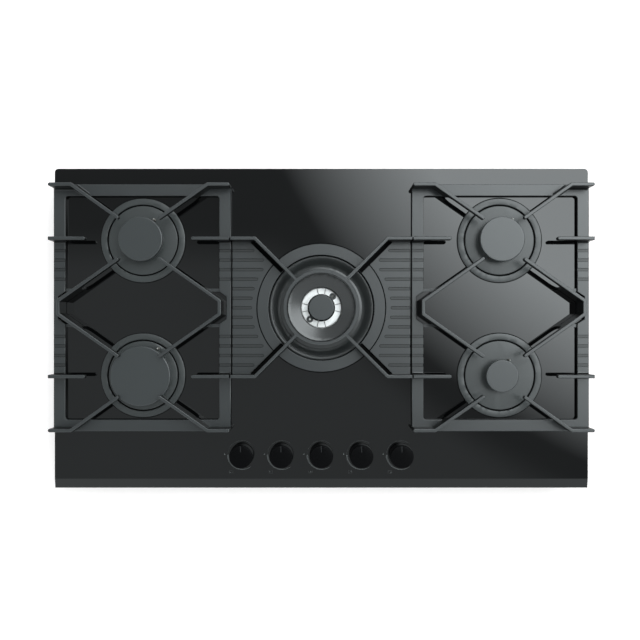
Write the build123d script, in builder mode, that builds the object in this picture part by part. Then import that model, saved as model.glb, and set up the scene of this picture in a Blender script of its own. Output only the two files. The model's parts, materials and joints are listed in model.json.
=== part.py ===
from build123d import *
import math
import os

# A built-in gas cooktop with a black glass top, five burners and three pan supports.
# Millimetres. X runs left to right, Y front to back, Z up. The origin is the middle of
# the underside of the steel tray that hangs below the glass.

# ---- glass top
glass_width = 860.0
glass_depth = 515.0
glass_thickness = 6.0
rear_corner_radius = 6.0
facet_width = 15.0
facet_drop = 3.0

# ---- steel tray, seal and clamps
tray_width = 830.0
tray_depth = 472.0
tray_height = 50.0
sheet = 1.0
tray_flange = 10.0
seal_width = 10.0
seal_thickness = 3.0
seal_inset = 1.0
clamp_length = 24.0
clamp_arm = 12.0
clamp_sheet = 1.5
clamp_foot = 8.0
clamp_top = 40.0
clamp_y = 120.0
vent_length = 40.0
vent_width = 5.0
vent_pitch = 60.0
vent_row_pitch = 14.0
vent_columns = 9
vent_rows = 3
vent_y = -25.0

# ---- gaps between pieces
running_gap = 0.06
seat_gap = 0.3
loose_gap = 0.5

# ---- where the burners stand
grate_y = 33.0
burner_x = 287.0
burner_offset = 108.7

# ---- rails that carry the burners
rail_height = 15.0
rail_width = 44.0
rail_foot = 12.0
rail_sheet = 1.2
rail_length = 740.0

# ---- burner cups on the glass
cup_ring_radius = 67.6
cup_ring_width = 10.1
cup_ring_height = 3.0
cup_groove_width = 2.1
cup_groove_floor = 1.0
cup_disc_height = 2.4
cup_edge = 0.9

# ---- small burners
cap_radius = {"rear_left": 35.1, "front_left": 47.6, "rear_right": 35.6, "front_right": 25.9}
burner_side = {"rear_left": -1, "front_left": -1, "rear_right": 1, "front_right": 1}
burner_row = {"rear_left": 1, "front_left": -1, "rear_right": 1, "front_right": -1}
cap_overhang = 4.2
neck_inset = 3.0
neck_wall = 2.0
neck_height = 3.0
crown_height = 17.0
crown_wall = 3.0
skirt_depth = 7.0
cap_height = 6.0
cap_edge = 1.5
cap_lip = 3.0
port_pitch = 6.5
port_width = 2.2
port_depth = 7.0
holder_radius = 15.0
holder_bell_low = 42.0
holder_bell_high = 48.5
foot_length = 56.0
foot_width = 36.0
foot_height = 3.0
gallery_radius = 4.0
throat_radius = 5.0
air_window = 12.0
injector_low = 29.0
injector_length = 10.0
injector_hex = 3.4
jet_radius = 0.6
feed_height = 25.0
feed_radius = 3.0
feed_bend = 12.0
feed_boss_radius = 7.0
feed_boss_reach = 22.0
feed_socket = 6.0

# ---- sensing and sparking
spark_radius = 1.7
spark_pin_radius = 0.9
spark_angle = 60.0
spark_offset = 2.7
spark_top = 12.0
spark_pin = 4.0
spark_low = 30.0
terminal_length = 4.0
thermo_radius = 1.6
thermo_lead_radius = 1.0
thermo_angle = 240.0
thermo_inset = 3.1
thermo_top = 16.0
thermo_height = 31.0
thermo_step = 6.0
lead_radius = 1.3
lead_height = 17.6
lead_bend = 4.0

# ---- wok burner
dish_radius = 84.0
dish_rim_width = 8.4
dish_rim_height = 3.2
dish_floor_radius = 68.0
dish_drop = 3.6
dish_sheet = 1.2
wok_glass_gap = 1.4
wok_body_radius = 46.0
wok_body_low = 34.0
wok_body_top = 54.0
wok_trough_width = 8.0
wok_floor = 38.0
wok_bore = 15.0
wok_leg_radius = 6.0
wok_leg_x = 30.0
wok_leg_y = 15.0
wok_block = 16.0
wok_feed_x = 40.0
wok_flange_radius = 65.5
wok_flange_height = 3.0
wok_flange_step = 1.0
wok_gas_holes = 4
wok_wall_outer = 52.0
wok_wall_inner = 33.0
wok_wall = 3.5
wok_outer_top = 20.0
wok_inner_top = 14.0
wok_cap_radius = 53.4
wok_cap_bore = 33.2
wok_cap_thickness = 4.6
wok_cap_rim = 27.0
wok_ring_radius = 31.3
wok_ring_height = 10.0
wok_ring_thickness = 4.0
wok_ring_land = 22.0
wok_ring_recess = 2.0
wok_ring_slot = 1.3
wok_ring_slot_angle = 12.5
wok_crown_radius = 18.0
wok_crown_height = 20.0
wok_inner_cap_radius = 20.4
wok_inner_cap_height = 5.0
wok_probe_radius = 25.8
wok_probe_hole = 2.7
wok_ring_hole = 4.4
wok_port_length = 12.0
wok_spark_angle = 45.0

# ---- gas line and taps
tap_x = [-128.0, -64.0, 0.0, 64.0, 128.0]
tap_y = -204.0
tap_radius = 12.0
tap_low = 8.0
tap_high = 38.0
tap_neck_radius = 7.0
tap_neck_top = 41.0
plug_radius = 8.0
plug_low = 12.0
plug_high = 35.0
magnet_radius = 6.0
magnet_reach = 26.0
second_outlet = 9.0
saddle_width = 18.0
gas_way_radius = 1.0
manifold_y = -180.0
manifold_height = 14.0
manifold_radius = 7.0
manifold_bore = 5.5
manifold_left = -150.0
manifold_right = 395.0
manifold_bend = 20.0
inlet_radius = 10.48
inlet_bore = 7.5
inlet_length = 14.0
inlet_collar = 12.0
inlet_collar_length = 9.0
inlet_relief = 9.5
inlet_relief_length = 1.0
inlet_hole_gap = 0.6

# ---- spindles and knobs
spindle_radius = 3.0
spindle_top = 16.0
spindle_flat = 0.8
blade_width = 2.0
blade_length = 5.6
blade_height = 7.0
shaft_low = 31.0
spindle_travel = 3.0
spindle_hole = 5.0
knob_radius = 18.5
knob_skirt = 19.2
knob_gap = 3.5
knob_height = 21.5
knob_wall = 2.4
knob_boss = 6.5
knob_edge = 1.4
pointer_length = 10.0
pointer_width = 1.2
pointer_depth = 0.6

# ---- lanes that the pipes and leads follow in the tray
lane_near = -112.0
lane_far = -142.0
lane_x = 208.0
lane_rear = 92.0
wok_lane = -60.0
lead_pitch = 8.0
lead_lane = 225.0

# ---- ignition
switch_length = 24.0
switch_depth = 18.0
switch_height = 5.0
loom_width = 3.0
loom_height = 2.5
loom_radius = 1.4
loom_x = -195.0
module_x = -120.0
module_y = 195.0
module_length = 80.0
module_depth = 36.0
module_height = 24.0
module_edge = 2.0
terminal_x = -300.0
terminal_y = 205.0
terminal_box_length = 50.0
terminal_box_depth = 40.0
terminal_box_height = 24.0
gland_height = 22.0
gland_radius = 9.0
gland_bore = 5.0
gland_inside = 8.0
gland_outside = 8.0
gland_flange = 12.0

# ---- screws
screw_radius = 2.0
screw_head_radius = 3.6
screw_head = 2.2
screw_shank = 5.0
screw_hole = 2.2

# ---- pan supports
pad_radius = 5.0
pad_height = 1.5
pad_peg_radius = 1.8
pad_peg = 3.0
bar_top = 9.0
bar_edge = 1.0
finger_top = 39.5
finger_depth = 11.0
finger_width = 5.5
finger_edge = 1.2
finger_arch = 15.0
root_flare = 3.0
side_inner = 145.0
side_outer = 429.2
side_rear = 231.0
side_bar = 18.8
side_corner = 6.0
window_corner = 4.5
ear_inset = 4.5
ear_outer_end = 426.8
ear_outer_bend = 393.7
ear_inner_end = 147.0
ear_inner_bend = 178.7
tip_outer = 34.0
tip_outer_row = 33.1
tip_inner = 32.8
tip_inner_row = 32.3
mid_tip_outer = 86.8
mid_tip_inner = 85.0
bracket_offset = 126.6
bracket_half = 10.5
notch_depth = 11.4
notch_half = 18.0
notch_mouth = 26.0
notch_tab = 5.0
notch_tab_height = 4.0
groove_pitch = 15.3
groove_width = 5.0
groove_depth = 1.2
side_groove_first = 3
side_groove_count = 4
centre_half = 142.7
centre_plate_half = 111.4
centre_ring_outer = 60.0
centre_ring_inner = 54.0
annulus_outer = 104.2
annulus_inner = 84.6
annulus_line = 1.8
channel_width = 3.6
channel_floor = 2.5
centre_groove_radius = 111.3
centre_groove_gap = 15.6
centre_groove_count = 6
centre_finger_shift = 2.1

# ---- heights worked out from the sizes above
glass_low = tray_height
glass_high = glass_low + glass_thickness
rail_top = sheet + rail_height
neck_top = glass_high + neck_height
crown_top = neck_top + crown_height
cap_top = crown_top + cap_height
cup_disc_top = glass_high + cup_disc_height
cup_ring_inner = cup_ring_radius - cup_ring_width
cup_disc_radius = cup_ring_inner - cup_groove_width
cup_hole_radius = cup_ring_inner - loose_gap
dish_hole_radius = dish_radius - dish_rim_width + wok_glass_gap
bar_low = glass_high + pad_height
bar_high = glass_high + bar_top
finger_high = glass_high + finger_top
finger_low = finger_high - finger_depth
half_finger = finger_width / 2
tray_rear = tray_depth / 2
tray_side = tray_width / 2
ear_y = side_rear - ear_inset - grate_y
vertical = (0, 0, 1)


def burner_place(name):
    # plan position of one of the four small burners
    return burner_side[name] * burner_x, grate_y + burner_row[name] * burner_offset


def polar(x, y, radius, angle):
    turn = math.radians(angle)
    return x + radius * math.cos(turn), y + radius * math.sin(turn)


def turned(x, y, outline):
    # a solid turned about the upright line through x, y; outline holds (radius, height) points
    with BuildPart() as body:
        with BuildSketch(Plane(origin=(x, y, 0), x_dir=(1, 0, 0), z_dir=(0, -1, 0))):
            with BuildLine():
                Polyline(*outline, close=True)
            make_face()
        revolve(axis=Axis((x, y, 0), vertical))
    return body.part


def rod(x, y, low, high, radius):
    return turned(x, y, [(0, low), (radius, low), (radius, high), (0, high)])


def block(x_low, x_high, y_low, y_high, z_low, z_high):
    with BuildPart() as body:
        with BuildSketch(Plane.XY.offset(z_low)):
            with Locations(((x_low + x_high) / 2, (y_low + y_high) / 2)):
                Rectangle(x_high - x_low, y_high - y_low)
        extrude(amount=z_high - z_low)
    return body.part


def bar_along(start, direction, radius, length):
    # a round bar from a point in any direction
    with BuildPart() as body:
        with BuildSketch(Plane(origin=start, z_dir=direction)):
            Circle(radius)
        extrude(amount=length)
    return body.part


def bent_bar(points, radius, bend):
    # a round bar that follows straight runs joined by arcs
    with BuildPart() as body:
        with BuildLine() as route:
            FilletPolyline(*points, radius=bend)
        with BuildSketch(Plane(origin=points[0], z_dir=route.line % 0)):
            Circle(radius)
        sweep(path=route.line)
    return body.part


def at_height(points, height):
    return [(x, y, height) for x, y in points]


def save(piece, name):
    piece.part.label = name
    export_step(piece.part, f"parts/{name}.step")


os.makedirs("parts", exist_ok=True)

# ======== glass top
with BuildPart() as glass:
    with BuildSketch(Plane.XY.offset(glass_low)):
        Rectangle(glass_width, glass_depth)
    extrude(amount=glass_thickness)
    rear_edges = glass.edges().filter_by(Axis.Z).group_by(Axis.Y)[-1]
    fillet(rear_edges, rear_corner_radius)
    front_edge = glass.edges().filter_by(Axis.X).group_by(Axis.Y)[0].sort_by(Axis.Z)[-1]
    chamfer(front_edge, length=facet_drop, length2=facet_width, reference=glass.faces().sort_by(Axis.Y)[0])
    for name in cap_radius:
        x, y = burner_place(name)
        add(rod(x, y, glass_low, glass_high, cup_hole_radius), mode=Mode.SUBTRACT)
    add(rod(0, grate_y, glass_low, glass_high, dish_hole_radius), mode=Mode.SUBTRACT)
    for x in tap_x:
        add(rod(x, tap_y, glass_low, glass_high, spindle_hole), mode=Mode.SUBTRACT)
save(glass, "glass_top")

# four strips of foam tape under the rim of the glass
seal_x = glass_width / 2 - seal_inset
seal_y = glass_depth / 2 - seal_inset
seal_low = glass_low - seal_thickness
with BuildPart() as seal:
    for side in (-1, 1):
        x_ends = sorted((side * seal_x, side * (seal_x - seal_width)))
        y_ends = sorted((side * seal_y, side * (seal_y - seal_width)))
        add(block(*x_ends, -seal_y, seal_y, seal_low, glass_low))
        strip_end = seal_x - seal_width - seal_inset
        add(block(-strip_end, strip_end, *y_ends, seal_low, glass_low))
save(seal, "perimeter_seal")

# ======== tray
with BuildPart() as tray:
    with BuildSketch():
        Rectangle(tray_width, tray_depth)
    extrude(amount=tray_height)
    with BuildSketch(Plane.XY.offset(sheet)):
        Rectangle(tray_width - 2 * sheet, tray_depth - 2 * sheet)
    extrude(amount=tray_height - 2 * sheet, mode=Mode.SUBTRACT)
    with BuildSketch(Plane.XY.offset(tray_height - sheet)):
        Rectangle(tray_width - 2 * tray_flange, tray_depth - 2 * tray_flange)
    extrude(amount=sheet, mode=Mode.SUBTRACT)
    with BuildSketch():
        with Locations((0, vent_y)):
            with GridLocations(vent_pitch, vent_row_pitch, vent_columns, vent_rows):
                SlotOverall(vent_length, vent_width)
    extrude(amount=sheet, mode=Mode.SUBTRACT)
    inlet_start = (manifold_right, tray_rear - 2 * sheet, manifold_height)
    add(bar_along(inlet_start, (0, 1, 0), inlet_collar + inlet_hole_gap, 3 * sheet), mode=Mode.SUBTRACT)
    gland_start = (terminal_x, tray_rear - 2 * sheet, gland_height)
    add(bar_along(gland_start, (0, 1, 0), gland_radius + running_gap, 3 * sheet), mode=Mode.SUBTRACT)
    for side in (-1, 1):
        for end in (-1, 1):
            hole = (side * (tray_side - 2 * sheet), end * clamp_y, (clamp_foot + clamp_top) / 2)
            add(bar_along(hole, (side, 0, 0), screw_hole, 3 * sheet), mode=Mode.SUBTRACT)
save(tray, "bottom_box")

# ======== rails
rail_rows = (grate_y - burner_offset, grate_y, grate_y + burner_offset)
rail_end = rail_length / 2
rail_screw_x = rail_end - rail_foot
with BuildPart() as rails:
    for y in rail_rows:
        half = rail_width / 2
        add(block(-rail_end, rail_end, y - half - rail_foot, y + half + rail_foot, sheet, sheet + rail_sheet))
        add(block(-rail_end, rail_end, y - half, y + half, sheet, rail_top))
        inner = half - rail_sheet
        hollow = block(-rail_end, rail_end, y - inner, y + inner, sheet, rail_top - rail_sheet)
        add(hollow, mode=Mode.SUBTRACT)
        for x in (-rail_screw_x, rail_screw_x):
            for edge in (-1, 1):
                foot_y = y + edge * (half + rail_foot / 2)
                add(rod(x, foot_y, sheet, rail_top, screw_hole), mode=Mode.SUBTRACT)
    for name in cap_radius:
        x, y = burner_place(name)
        for side in (-1, 1):
            screw_x = x + side * (foot_length / 2 - rail_foot / 2)
            add(rod(screw_x, y, sheet, rail_top, screw_hole), mode=Mode.SUBTRACT)
save(rails, "burner_rails")

# screws that hold the burners to the rails and the rails to the tray
with BuildPart() as screws:
    for name in cap_radius:
        x, y = burner_place(name)
        for side in (-1, 1):
            screw_x = x + side * (foot_length / 2 - rail_foot / 2)
            seat = rail_top + foot_height
            add(rod(screw_x, y, seat, seat + screw_head, screw_head_radius))
            add(rod(screw_x, y, seat - screw_shank, seat, screw_radius))
    for y in rail_rows:
        for x in (-rail_screw_x, rail_screw_x):
            for edge in (-1, 1):
                foot_y = y + edge * (rail_width / 2 + rail_foot / 2)
                seat = sheet + rail_sheet
                add(rod(x, foot_y, seat, seat + screw_head, screw_head_radius))
                add(rod(x, foot_y, sheet, seat, screw_radius))
save(screws, "frame_screws")

# ======== clamps that pull the cooktop down on the worktop
with BuildPart() as clamps:
    for side in (-1, 1):
        for end in (-1, 1):
            y_ends = (end * clamp_y - clamp_length / 2, end * clamp_y + clamp_length / 2)
            leg = sorted((side * tray_side, side * (tray_side + clamp_sheet)))
            arm = sorted((side * tray_side, side * (tray_side + clamp_arm)))
            add(block(*leg, *y_ends, clamp_foot, clamp_top))
            add(block(*arm, *y_ends, clamp_top - clamp_sheet, clamp_top))
            hole = (side * tray_side, end * clamp_y, (clamp_foot + clamp_top) / 2)
            add(bar_along(hole, (side, 0, 0), screw_hole, clamp_arm), mode=Mode.SUBTRACT)
save(clamps, "worktop_clamps")

with BuildPart() as clamp_screws:
    for side in (-1, 1):
        for end in (-1, 1):
            height = (clamp_foot + clamp_top) / 2
            face = side * (tray_side + clamp_sheet)
            add(bar_along((face, end * clamp_y, height), (side, 0, 0), screw_head_radius, screw_head))
            add(bar_along((face, end * clamp_y, height), (-side, 0, 0), screw_radius, screw_shank))
save(clamp_screws, "clamp_screws")


# ======== small burners
def probe_places(name):
    # plan places of the spark electrode and of the thermocouple of a small burner
    x, y = burner_place(name)
    spark = polar(x, y, cap_radius[name] + spark_offset, spark_angle)
    thermo = polar(x, y, cap_radius[name] - thermo_inset, thermo_angle)
    return spark, thermo


for name in cap_radius:
    x, y = burner_place(name)
    crown = cap_radius[name] - cap_overhang
    neck = crown - neck_inset
    spark, thermo = probe_places(name)
    foot_high = rail_top + foot_height

    with BuildPart() as holder:
        add(turned(x, y, [
            (0, rail_top), (holder_radius, rail_top), (holder_radius, holder_bell_low),
            (neck, holder_bell_high), (neck, neck_top), (0, neck_top),
        ]))
        add(block(x - foot_length / 2, x + foot_length / 2, y - foot_width / 2, y + foot_width / 2,
                  rail_top, foot_high))
        add(bar_along((x, y, feed_height), (0, -1, 0), feed_boss_radius, feed_boss_reach))
        window_low = injector_low + feed_boss_radius
        add(turned(x, y, [
            (0, rail_top + foot_height), (gallery_radius, foot_high), (gallery_radius, window_low),
            (throat_radius, window_low), (throat_radius, holder_bell_low),
            (neck - neck_wall, holder_bell_high + neck_wall), (neck - neck_wall, neck_top), (0, neck_top),
        ]), mode=Mode.SUBTRACT)
        add(block(x - holder_radius, x + holder_radius, y - air_window / 2, y + air_window / 2,
                  window_low, holder_bell_low - neck_wall), mode=Mode.SUBTRACT)
        add(bar_along((x, y, feed_height), (0, -1, 0), feed_radius - neck_wall / 2, feed_boss_reach),
            mode=Mode.SUBTRACT)
        socket = (x, y - feed_boss_reach + feed_socket, feed_height)
        add(bar_along(socket, (0, -1, 0), feed_radius + running_gap, feed_socket), mode=Mode.SUBTRACT)
        for side in (-1, 1):
            screw_x = x + side * (foot_length / 2 - rail_foot / 2)
            add(rod(screw_x, y, rail_top, foot_high, screw_hole), mode=Mode.SUBTRACT)
    save(holder, f"burner_base_{name}")

    with BuildPart() as cup:
        groove_top = glass_high + cup_groove_floor
        ring_top = glass_high + cup_ring_height
        add(turned(x, y, [
            (neck + loose_gap, glass_high + cup_edge), (neck + loose_gap, cup_disc_top),
            (cup_disc_radius - cup_edge, cup_disc_top), (cup_disc_radius, cup_disc_top - cup_edge),
            (cup_disc_radius, groove_top), (cup_ring_inner, groove_top),
            (cup_ring_inner, ring_top - cup_edge), (cup_ring_inner + cup_edge, ring_top),
            (cup_ring_radius - cup_edge, ring_top), (cup_ring_radius, ring_top - cup_edge),
            (cup_ring_radius, glass_high), (cup_disc_radius - cup_edge, glass_high),
            (cup_disc_radius - cup_edge, glass_high + cup_edge),
        ]))
        add(rod(*spark, glass_high, cup_disc_top, spark_radius + seat_gap), mode=Mode.SUBTRACT)
        add(rod(*thermo, glass_high, cup_disc_top, thermo_radius + seat_gap), mode=Mode.SUBTRACT)
    save(cup, f"burner_cup_{name}")

    with BuildPart() as spreader:
        skirt = neck - neck_wall - seat_gap
        add(turned(x, y, [
            (skirt - crown_wall, neck_top - skirt_depth), (skirt, neck_top - skirt_depth),
            (skirt, neck_top), (neck, neck_top), (crown, neck_top + crown_wall),
            (crown, crown_top), (crown - crown_wall, crown_top),
            (crown - crown_wall, neck_top + 2 * crown_wall), (skirt - crown_wall, neck_top + crown_wall),
        ]))
        port_count = round(2 * math.pi * crown / port_pitch)
        with BuildSketch(Plane.XY.offset(crown_top - port_depth)):
            with Locations((x, y)):
                with PolarLocations(crown - crown_wall / 2, port_count):
                    Rectangle(2 * crown_wall, port_width)
        extrude(amount=port_depth, mode=Mode.SUBTRACT)
        add(rod(*thermo, neck_top, crown_top, thermo_radius + seat_gap), mode=Mode.SUBTRACT)
    save(spreader, f"flame_spreader_{name}")

    with BuildPart() as cap:
        add(rod(x, y, crown_top, cap_top, cap_radius[name]))
        fillet(cap.faces().sort_by(Axis.Z)[-1].edges(), cap_edge)
        lip = crown - crown_wall - loose_gap
        add(turned(x, y, [
            (lip - crown_wall, crown_top - cap_lip), (lip, crown_top - cap_lip),
            (lip, crown_top), (lip - crown_wall, crown_top),
        ]))
    save(cap, f"burner_cap_{name}")

# ======== wok burner
wok_spark = polar(0, grate_y, wok_probe_radius, wok_spark_angle)
wok_thermo = polar(0, grate_y, wok_probe_radius, wok_spark_angle + 180)
dish_rim_top = glass_high + dish_rim_height
dish_floor = glass_high - dish_drop
with BuildPart() as dish:
    add(turned(0, grate_y, [
        (dish_radius, glass_high), (dish_radius, dish_rim_top - cup_edge),
        (dish_radius - cup_edge, dish_rim_top), (dish_radius - dish_rim_width / 2, dish_rim_top),
        (dish_floor_radius, dish_floor), (wok_body_radius + loose_gap, dish_floor),
        (wok_body_radius + loose_gap, dish_floor - dish_sheet),
        (dish_floor_radius + dish_sheet / 2, dish_floor - dish_sheet),
        (dish_radius - dish_rim_width, glass_high - dish_sheet), (dish_radius - dish_rim_width, glass_high),
    ]))
save(dish, "wok_dish")

trough_inner = wok_body_radius - neck_wall - wok_trough_width
with BuildPart() as wok_base:
    add(rod(0, grate_y, wok_body_low, wok_body_top, wok_body_radius))
    for side in (-1, 1):
        for end in (-1, 1):
            leg_x = side * wok_leg_x
            leg_y = grate_y + end * wok_leg_y
            add(rod(leg_x, leg_y, rail_top, wok_body_low, wok_leg_radius))
    block_low = feed_height - wok_block / 2
    for x in (0, wok_feed_x):
        add(block(x - wok_block / 2, x + wok_block / 2, grate_y - wok_block / 2, grate_y + wok_block / 2,
                  block_low, wok_body_low))
    add(rod(0, grate_y, wok_floor, wok_body_top, wok_bore), mode=Mode.SUBTRACT)
    add(turned(0, grate_y, [
        (trough_inner, wok_floor), (trough_inner + wok_trough_width, wok_floor),
        (trough_inner + wok_trough_width, wok_body_top), (trough_inner, wok_body_top),
    ]), mode=Mode.SUBTRACT)
    for x in (0, wok_feed_x):
        add(rod(x, grate_y, feed_height - feed_radius, wok_floor, gallery_radius), mode=Mode.SUBTRACT)
        socket = (x, grate_y - wok_block / 2 + feed_socket, feed_height)
        add(bar_along(socket, (0, -1, 0), feed_radius + running_gap, feed_socket), mode=Mode.SUBTRACT)
    for place in (wok_spark, wok_thermo):
        add(rod(*place, wok_body_low, wok_body_top, wok_probe_hole), mode=Mode.SUBTRACT)
save(wok_base, "burner_base_wok")

spread_low = wok_body_top
outer_top = glass_high + wok_outer_top
inner_top = glass_high + wok_inner_top
with BuildPart() as wok_outer:
    floor_top = spread_low + wok_flange_height
    flange_low = spread_low + wok_flange_step
    add(turned(0, grate_y, [
        (wok_wall_inner, spread_low), (wok_body_radius, spread_low),
        (wok_body_radius, flange_low), (wok_flange_radius, flange_low),
        (wok_flange_radius, floor_top), (wok_wall_outer, floor_top + wok_wall),
        (wok_wall_outer, outer_top), (wok_wall_outer - wok_wall, outer_top),
        (wok_wall_outer - wok_wall, floor_top), (wok_wall_inner + wok_wall, floor_top),
        (wok_wall_inner + wok_wall, inner_top), (wok_wall_inner, inner_top),
    ]))
    outer_ports = round(2 * math.pi * wok_wall_outer / port_pitch)
    with BuildSketch(Plane.XY.offset(outer_top - port_depth)):
        with Locations((0, grate_y)):
            with PolarLocations(wok_wall_outer - wok_wall / 2, outer_ports):
                Rectangle(2 * wok_wall, port_width)
    extrude(amount=port_depth, mode=Mode.SUBTRACT)
    with BuildSketch(Plane.XY.offset(spread_low)):
        with Locations((0, grate_y)):
            with PolarLocations(trough_inner + wok_trough_width / 2, wok_gas_holes):
                Circle(wok_trough_width / 2 - loose_gap)
    extrude(amount=wok_flange_height, mode=Mode.SUBTRACT)
save(wok_outer, "flame_spreader_wok_outer")

with BuildPart() as wok_outer_cap:
    cap_rim = glass_high + wok_cap_rim
    add(turned(0, grate_y, [
        (wok_cap_bore, inner_top), (wok_cap_bore, inner_top + wok_cap_thickness),
        (wok_cap_radius - cup_edge, cap_rim), (wok_cap_radius, cap_rim - cup_edge),
        (wok_cap_radius, outer_top), (wok_wall_outer - wok_wall, outer_top),
        (wok_wall_inner + wok_wall, inner_top),
    ]))
save(wok_outer_cap, "burner_cap_wok_outer")

ring_low = glass_high + wok_ring_height - wok_ring_thickness
ring_top = glass_high + wok_ring_height
inner_crown_top = glass_high + wok_crown_height
with BuildPart() as wok_inner:
    skirt = wok_bore - seat_gap
    add(turned(0, grate_y, [
        (skirt - crown_wall, wok_body_top - skirt_depth), (skirt, wok_body_top - skirt_depth),
        (skirt, wok_body_top), (wok_crown_radius, wok_body_top), (wok_crown_radius, ring_low),
        (wok_ring_radius, ring_low), (wok_ring_radius, ring_top), (wok_ring_land, ring_top),
        (wok_ring_land, ring_top - wok_ring_recess), (wok_crown_radius, ring_top - wok_ring_recess),
        (wok_crown_radius, inner_crown_top), (skirt - crown_wall, inner_crown_top),
    ]))
    inner_ports = round(2 * math.pi * wok_crown_radius / port_pitch)
    with BuildSketch(Plane.XY.offset(inner_crown_top - port_depth)):
        with Locations((0, grate_y)):
            with PolarLocations(wok_crown_radius - crown_wall, inner_ports):
                Rectangle(wok_port_length, port_width)
    extrude(amount=port_depth, mode=Mode.SUBTRACT)
    slot_reach = (wok_ring_radius + wok_crown_radius) / 2
    for quarter in range(4):
        for edge in (-1, 1):
            angle = 90 * quarter + edge * wok_ring_slot_angle
            with BuildSketch(Plane.XY.offset(ring_low)):
                with Locations(Location((*polar(0, grate_y, slot_reach, angle), 0), (0, 0, angle))):
                    Rectangle(wok_ring_radius - wok_crown_radius + loose_gap, wok_ring_slot)
            extrude(amount=wok_ring_thickness, mode=Mode.SUBTRACT)
    for place in (wok_spark, wok_thermo):
        add(rod(*place, ring_low, ring_top, wok_ring_hole), mode=Mode.SUBTRACT)
save(wok_inner, "flame_spreader_wok_inner")

with BuildPart() as wok_inner_cap:
    inner_cap_top = inner_crown_top + wok_inner_cap_height
    add(rod(0, grate_y, inner_crown_top, inner_cap_top, wok_inner_cap_radius))
    fillet(wok_inner_cap.faces().sort_by(Axis.Z)[-1].edges(), cap_edge)
    lip = wok_bore - seat_gap - crown_wall - seat_gap
    add(rod(0, grate_y, inner_crown_top - cap_lip, inner_crown_top, lip))
save(wok_inner_cap, "burner_cap_wok_inner")

# injectors screwed into the burner bases
injector_radius = gallery_radius - running_gap
with BuildPart() as injectors:
    places = [burner_place(name) for name in cap_radius]
    injector_lows = [injector_low] * len(places) + [feed_height + feed_radius] * 2
    places += [(0, grate_y), (wok_feed_x, grate_y)]
    for (x, y), low in zip(places, injector_lows):
        add(turned(x, y, [
            (jet_radius, low), (injector_radius, low), (injector_radius, low + injector_hex),
            (injector_radius, low + injector_length - injector_hex),
            (injector_radius - jet_radius, low + injector_length), (jet_radius, low + injector_length),
        ]))
save(injectors, "injectors")


# ======== sparks and thermocouples
def spark_solid(place, top):
    with BuildPart() as electrode:
        add(rod(*place, spark_low, top, spark_radius))
        add(rod(*place, top, top + spark_pin, spark_pin_radius))
        add(rod(*place, spark_low - terminal_length, spark_low, lead_radius))
    return electrode.part


with BuildPart() as sparks:
    for name in cap_radius:
        spark, thermo = probe_places(name)
        add(spark_solid(spark, glass_high + spark_top))
    add(spark_solid(wok_spark, glass_high + spark_top))
save(sparks, "spark_electrodes")

# each thermocouple's copper lead runs from the magnet of its tap to the burner
thermo_routes = {}
for name, tap in (("front_left", 0), ("rear_left", 1), ("rear_right", 3), ("front_right", 4)):
    spark, thermo = probe_places(name)
    start = tap_x[tap] + magnet_reach
    side = burner_side[name]
    if burner_row[name] < 0:
        middle = [(start + thermo_step, lane_far), (thermo[0], lane_far)]
    else:
        middle = [
            (start + thermo_step, lane_near), (side * lane_x, lane_near),
            (side * lane_x, lane_rear), (thermo[0], lane_rear),
        ]
    thermo_routes[name] = [(start, tap_y), (start + thermo_step, tap_y)] + middle + [thermo]
start = tap_x[2] + magnet_reach
thermo_routes["wok"] = [
    (start, tap_y), (start + thermo_step, tap_y), (start + thermo_step, wok_lane),
    (wok_thermo[0], wok_lane), wok_thermo,
]

with BuildPart() as thermocouples:
    for name, route in thermo_routes.items():
        end = route[-1]
        rise = thermo_height + thermo_step
        lead = at_height(route, thermo_height) + [(*end, rise)]
        add(bent_bar(lead, thermo_lead_radius, lead_bend))
        add(rod(*end, rise, glass_high + thermo_top, thermo_radius))
save(thermocouples, "thermocouples")

# ======== gas line
with BuildPart() as manifold:
    inlet_start_y = tray_rear - feed_socket
    route = [
        (manifold_left, manifold_y, manifold_height), (manifold_right, manifold_y, manifold_height),
        (manifold_right, inlet_start_y, manifold_height),
    ]
    add(bent_bar(route, manifold_radius, manifold_bend))
    inlet_reach = inlet_collar_length + inlet_relief_length + inlet_length
    add(bar_along(route[-1], (0, 1, 0), inlet_collar, inlet_collar_length))
    add(bar_along(route[-1], (0, 1, 0), inlet_relief, inlet_collar_length + inlet_relief_length))
    thread = (manifold_right, inlet_start_y + inlet_reach - inlet_length, manifold_height)
    add(bar_along(thread, (0, 1, 0), inlet_radius, inlet_length))
    seat = (manifold_right, inlet_start_y + neck_wall, manifold_height)
    add(bar_along(seat, (0, 1, 0), inlet_bore, inlet_reach), mode=Mode.SUBTRACT)
    inside = [(manifold_left + neck_wall, manifold_y, manifold_height), route[1], seat]
    add(bent_bar(inside, manifold_bore, manifold_bend), mode=Mode.SUBTRACT)
    for x in tap_x:
        start = (x, manifold_y, manifold_height)
        add(bar_along(start, (0, -1, 0), gas_way_radius, 2 * manifold_radius), mode=Mode.SUBTRACT)
save(manifold, "gas_manifold")

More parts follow.
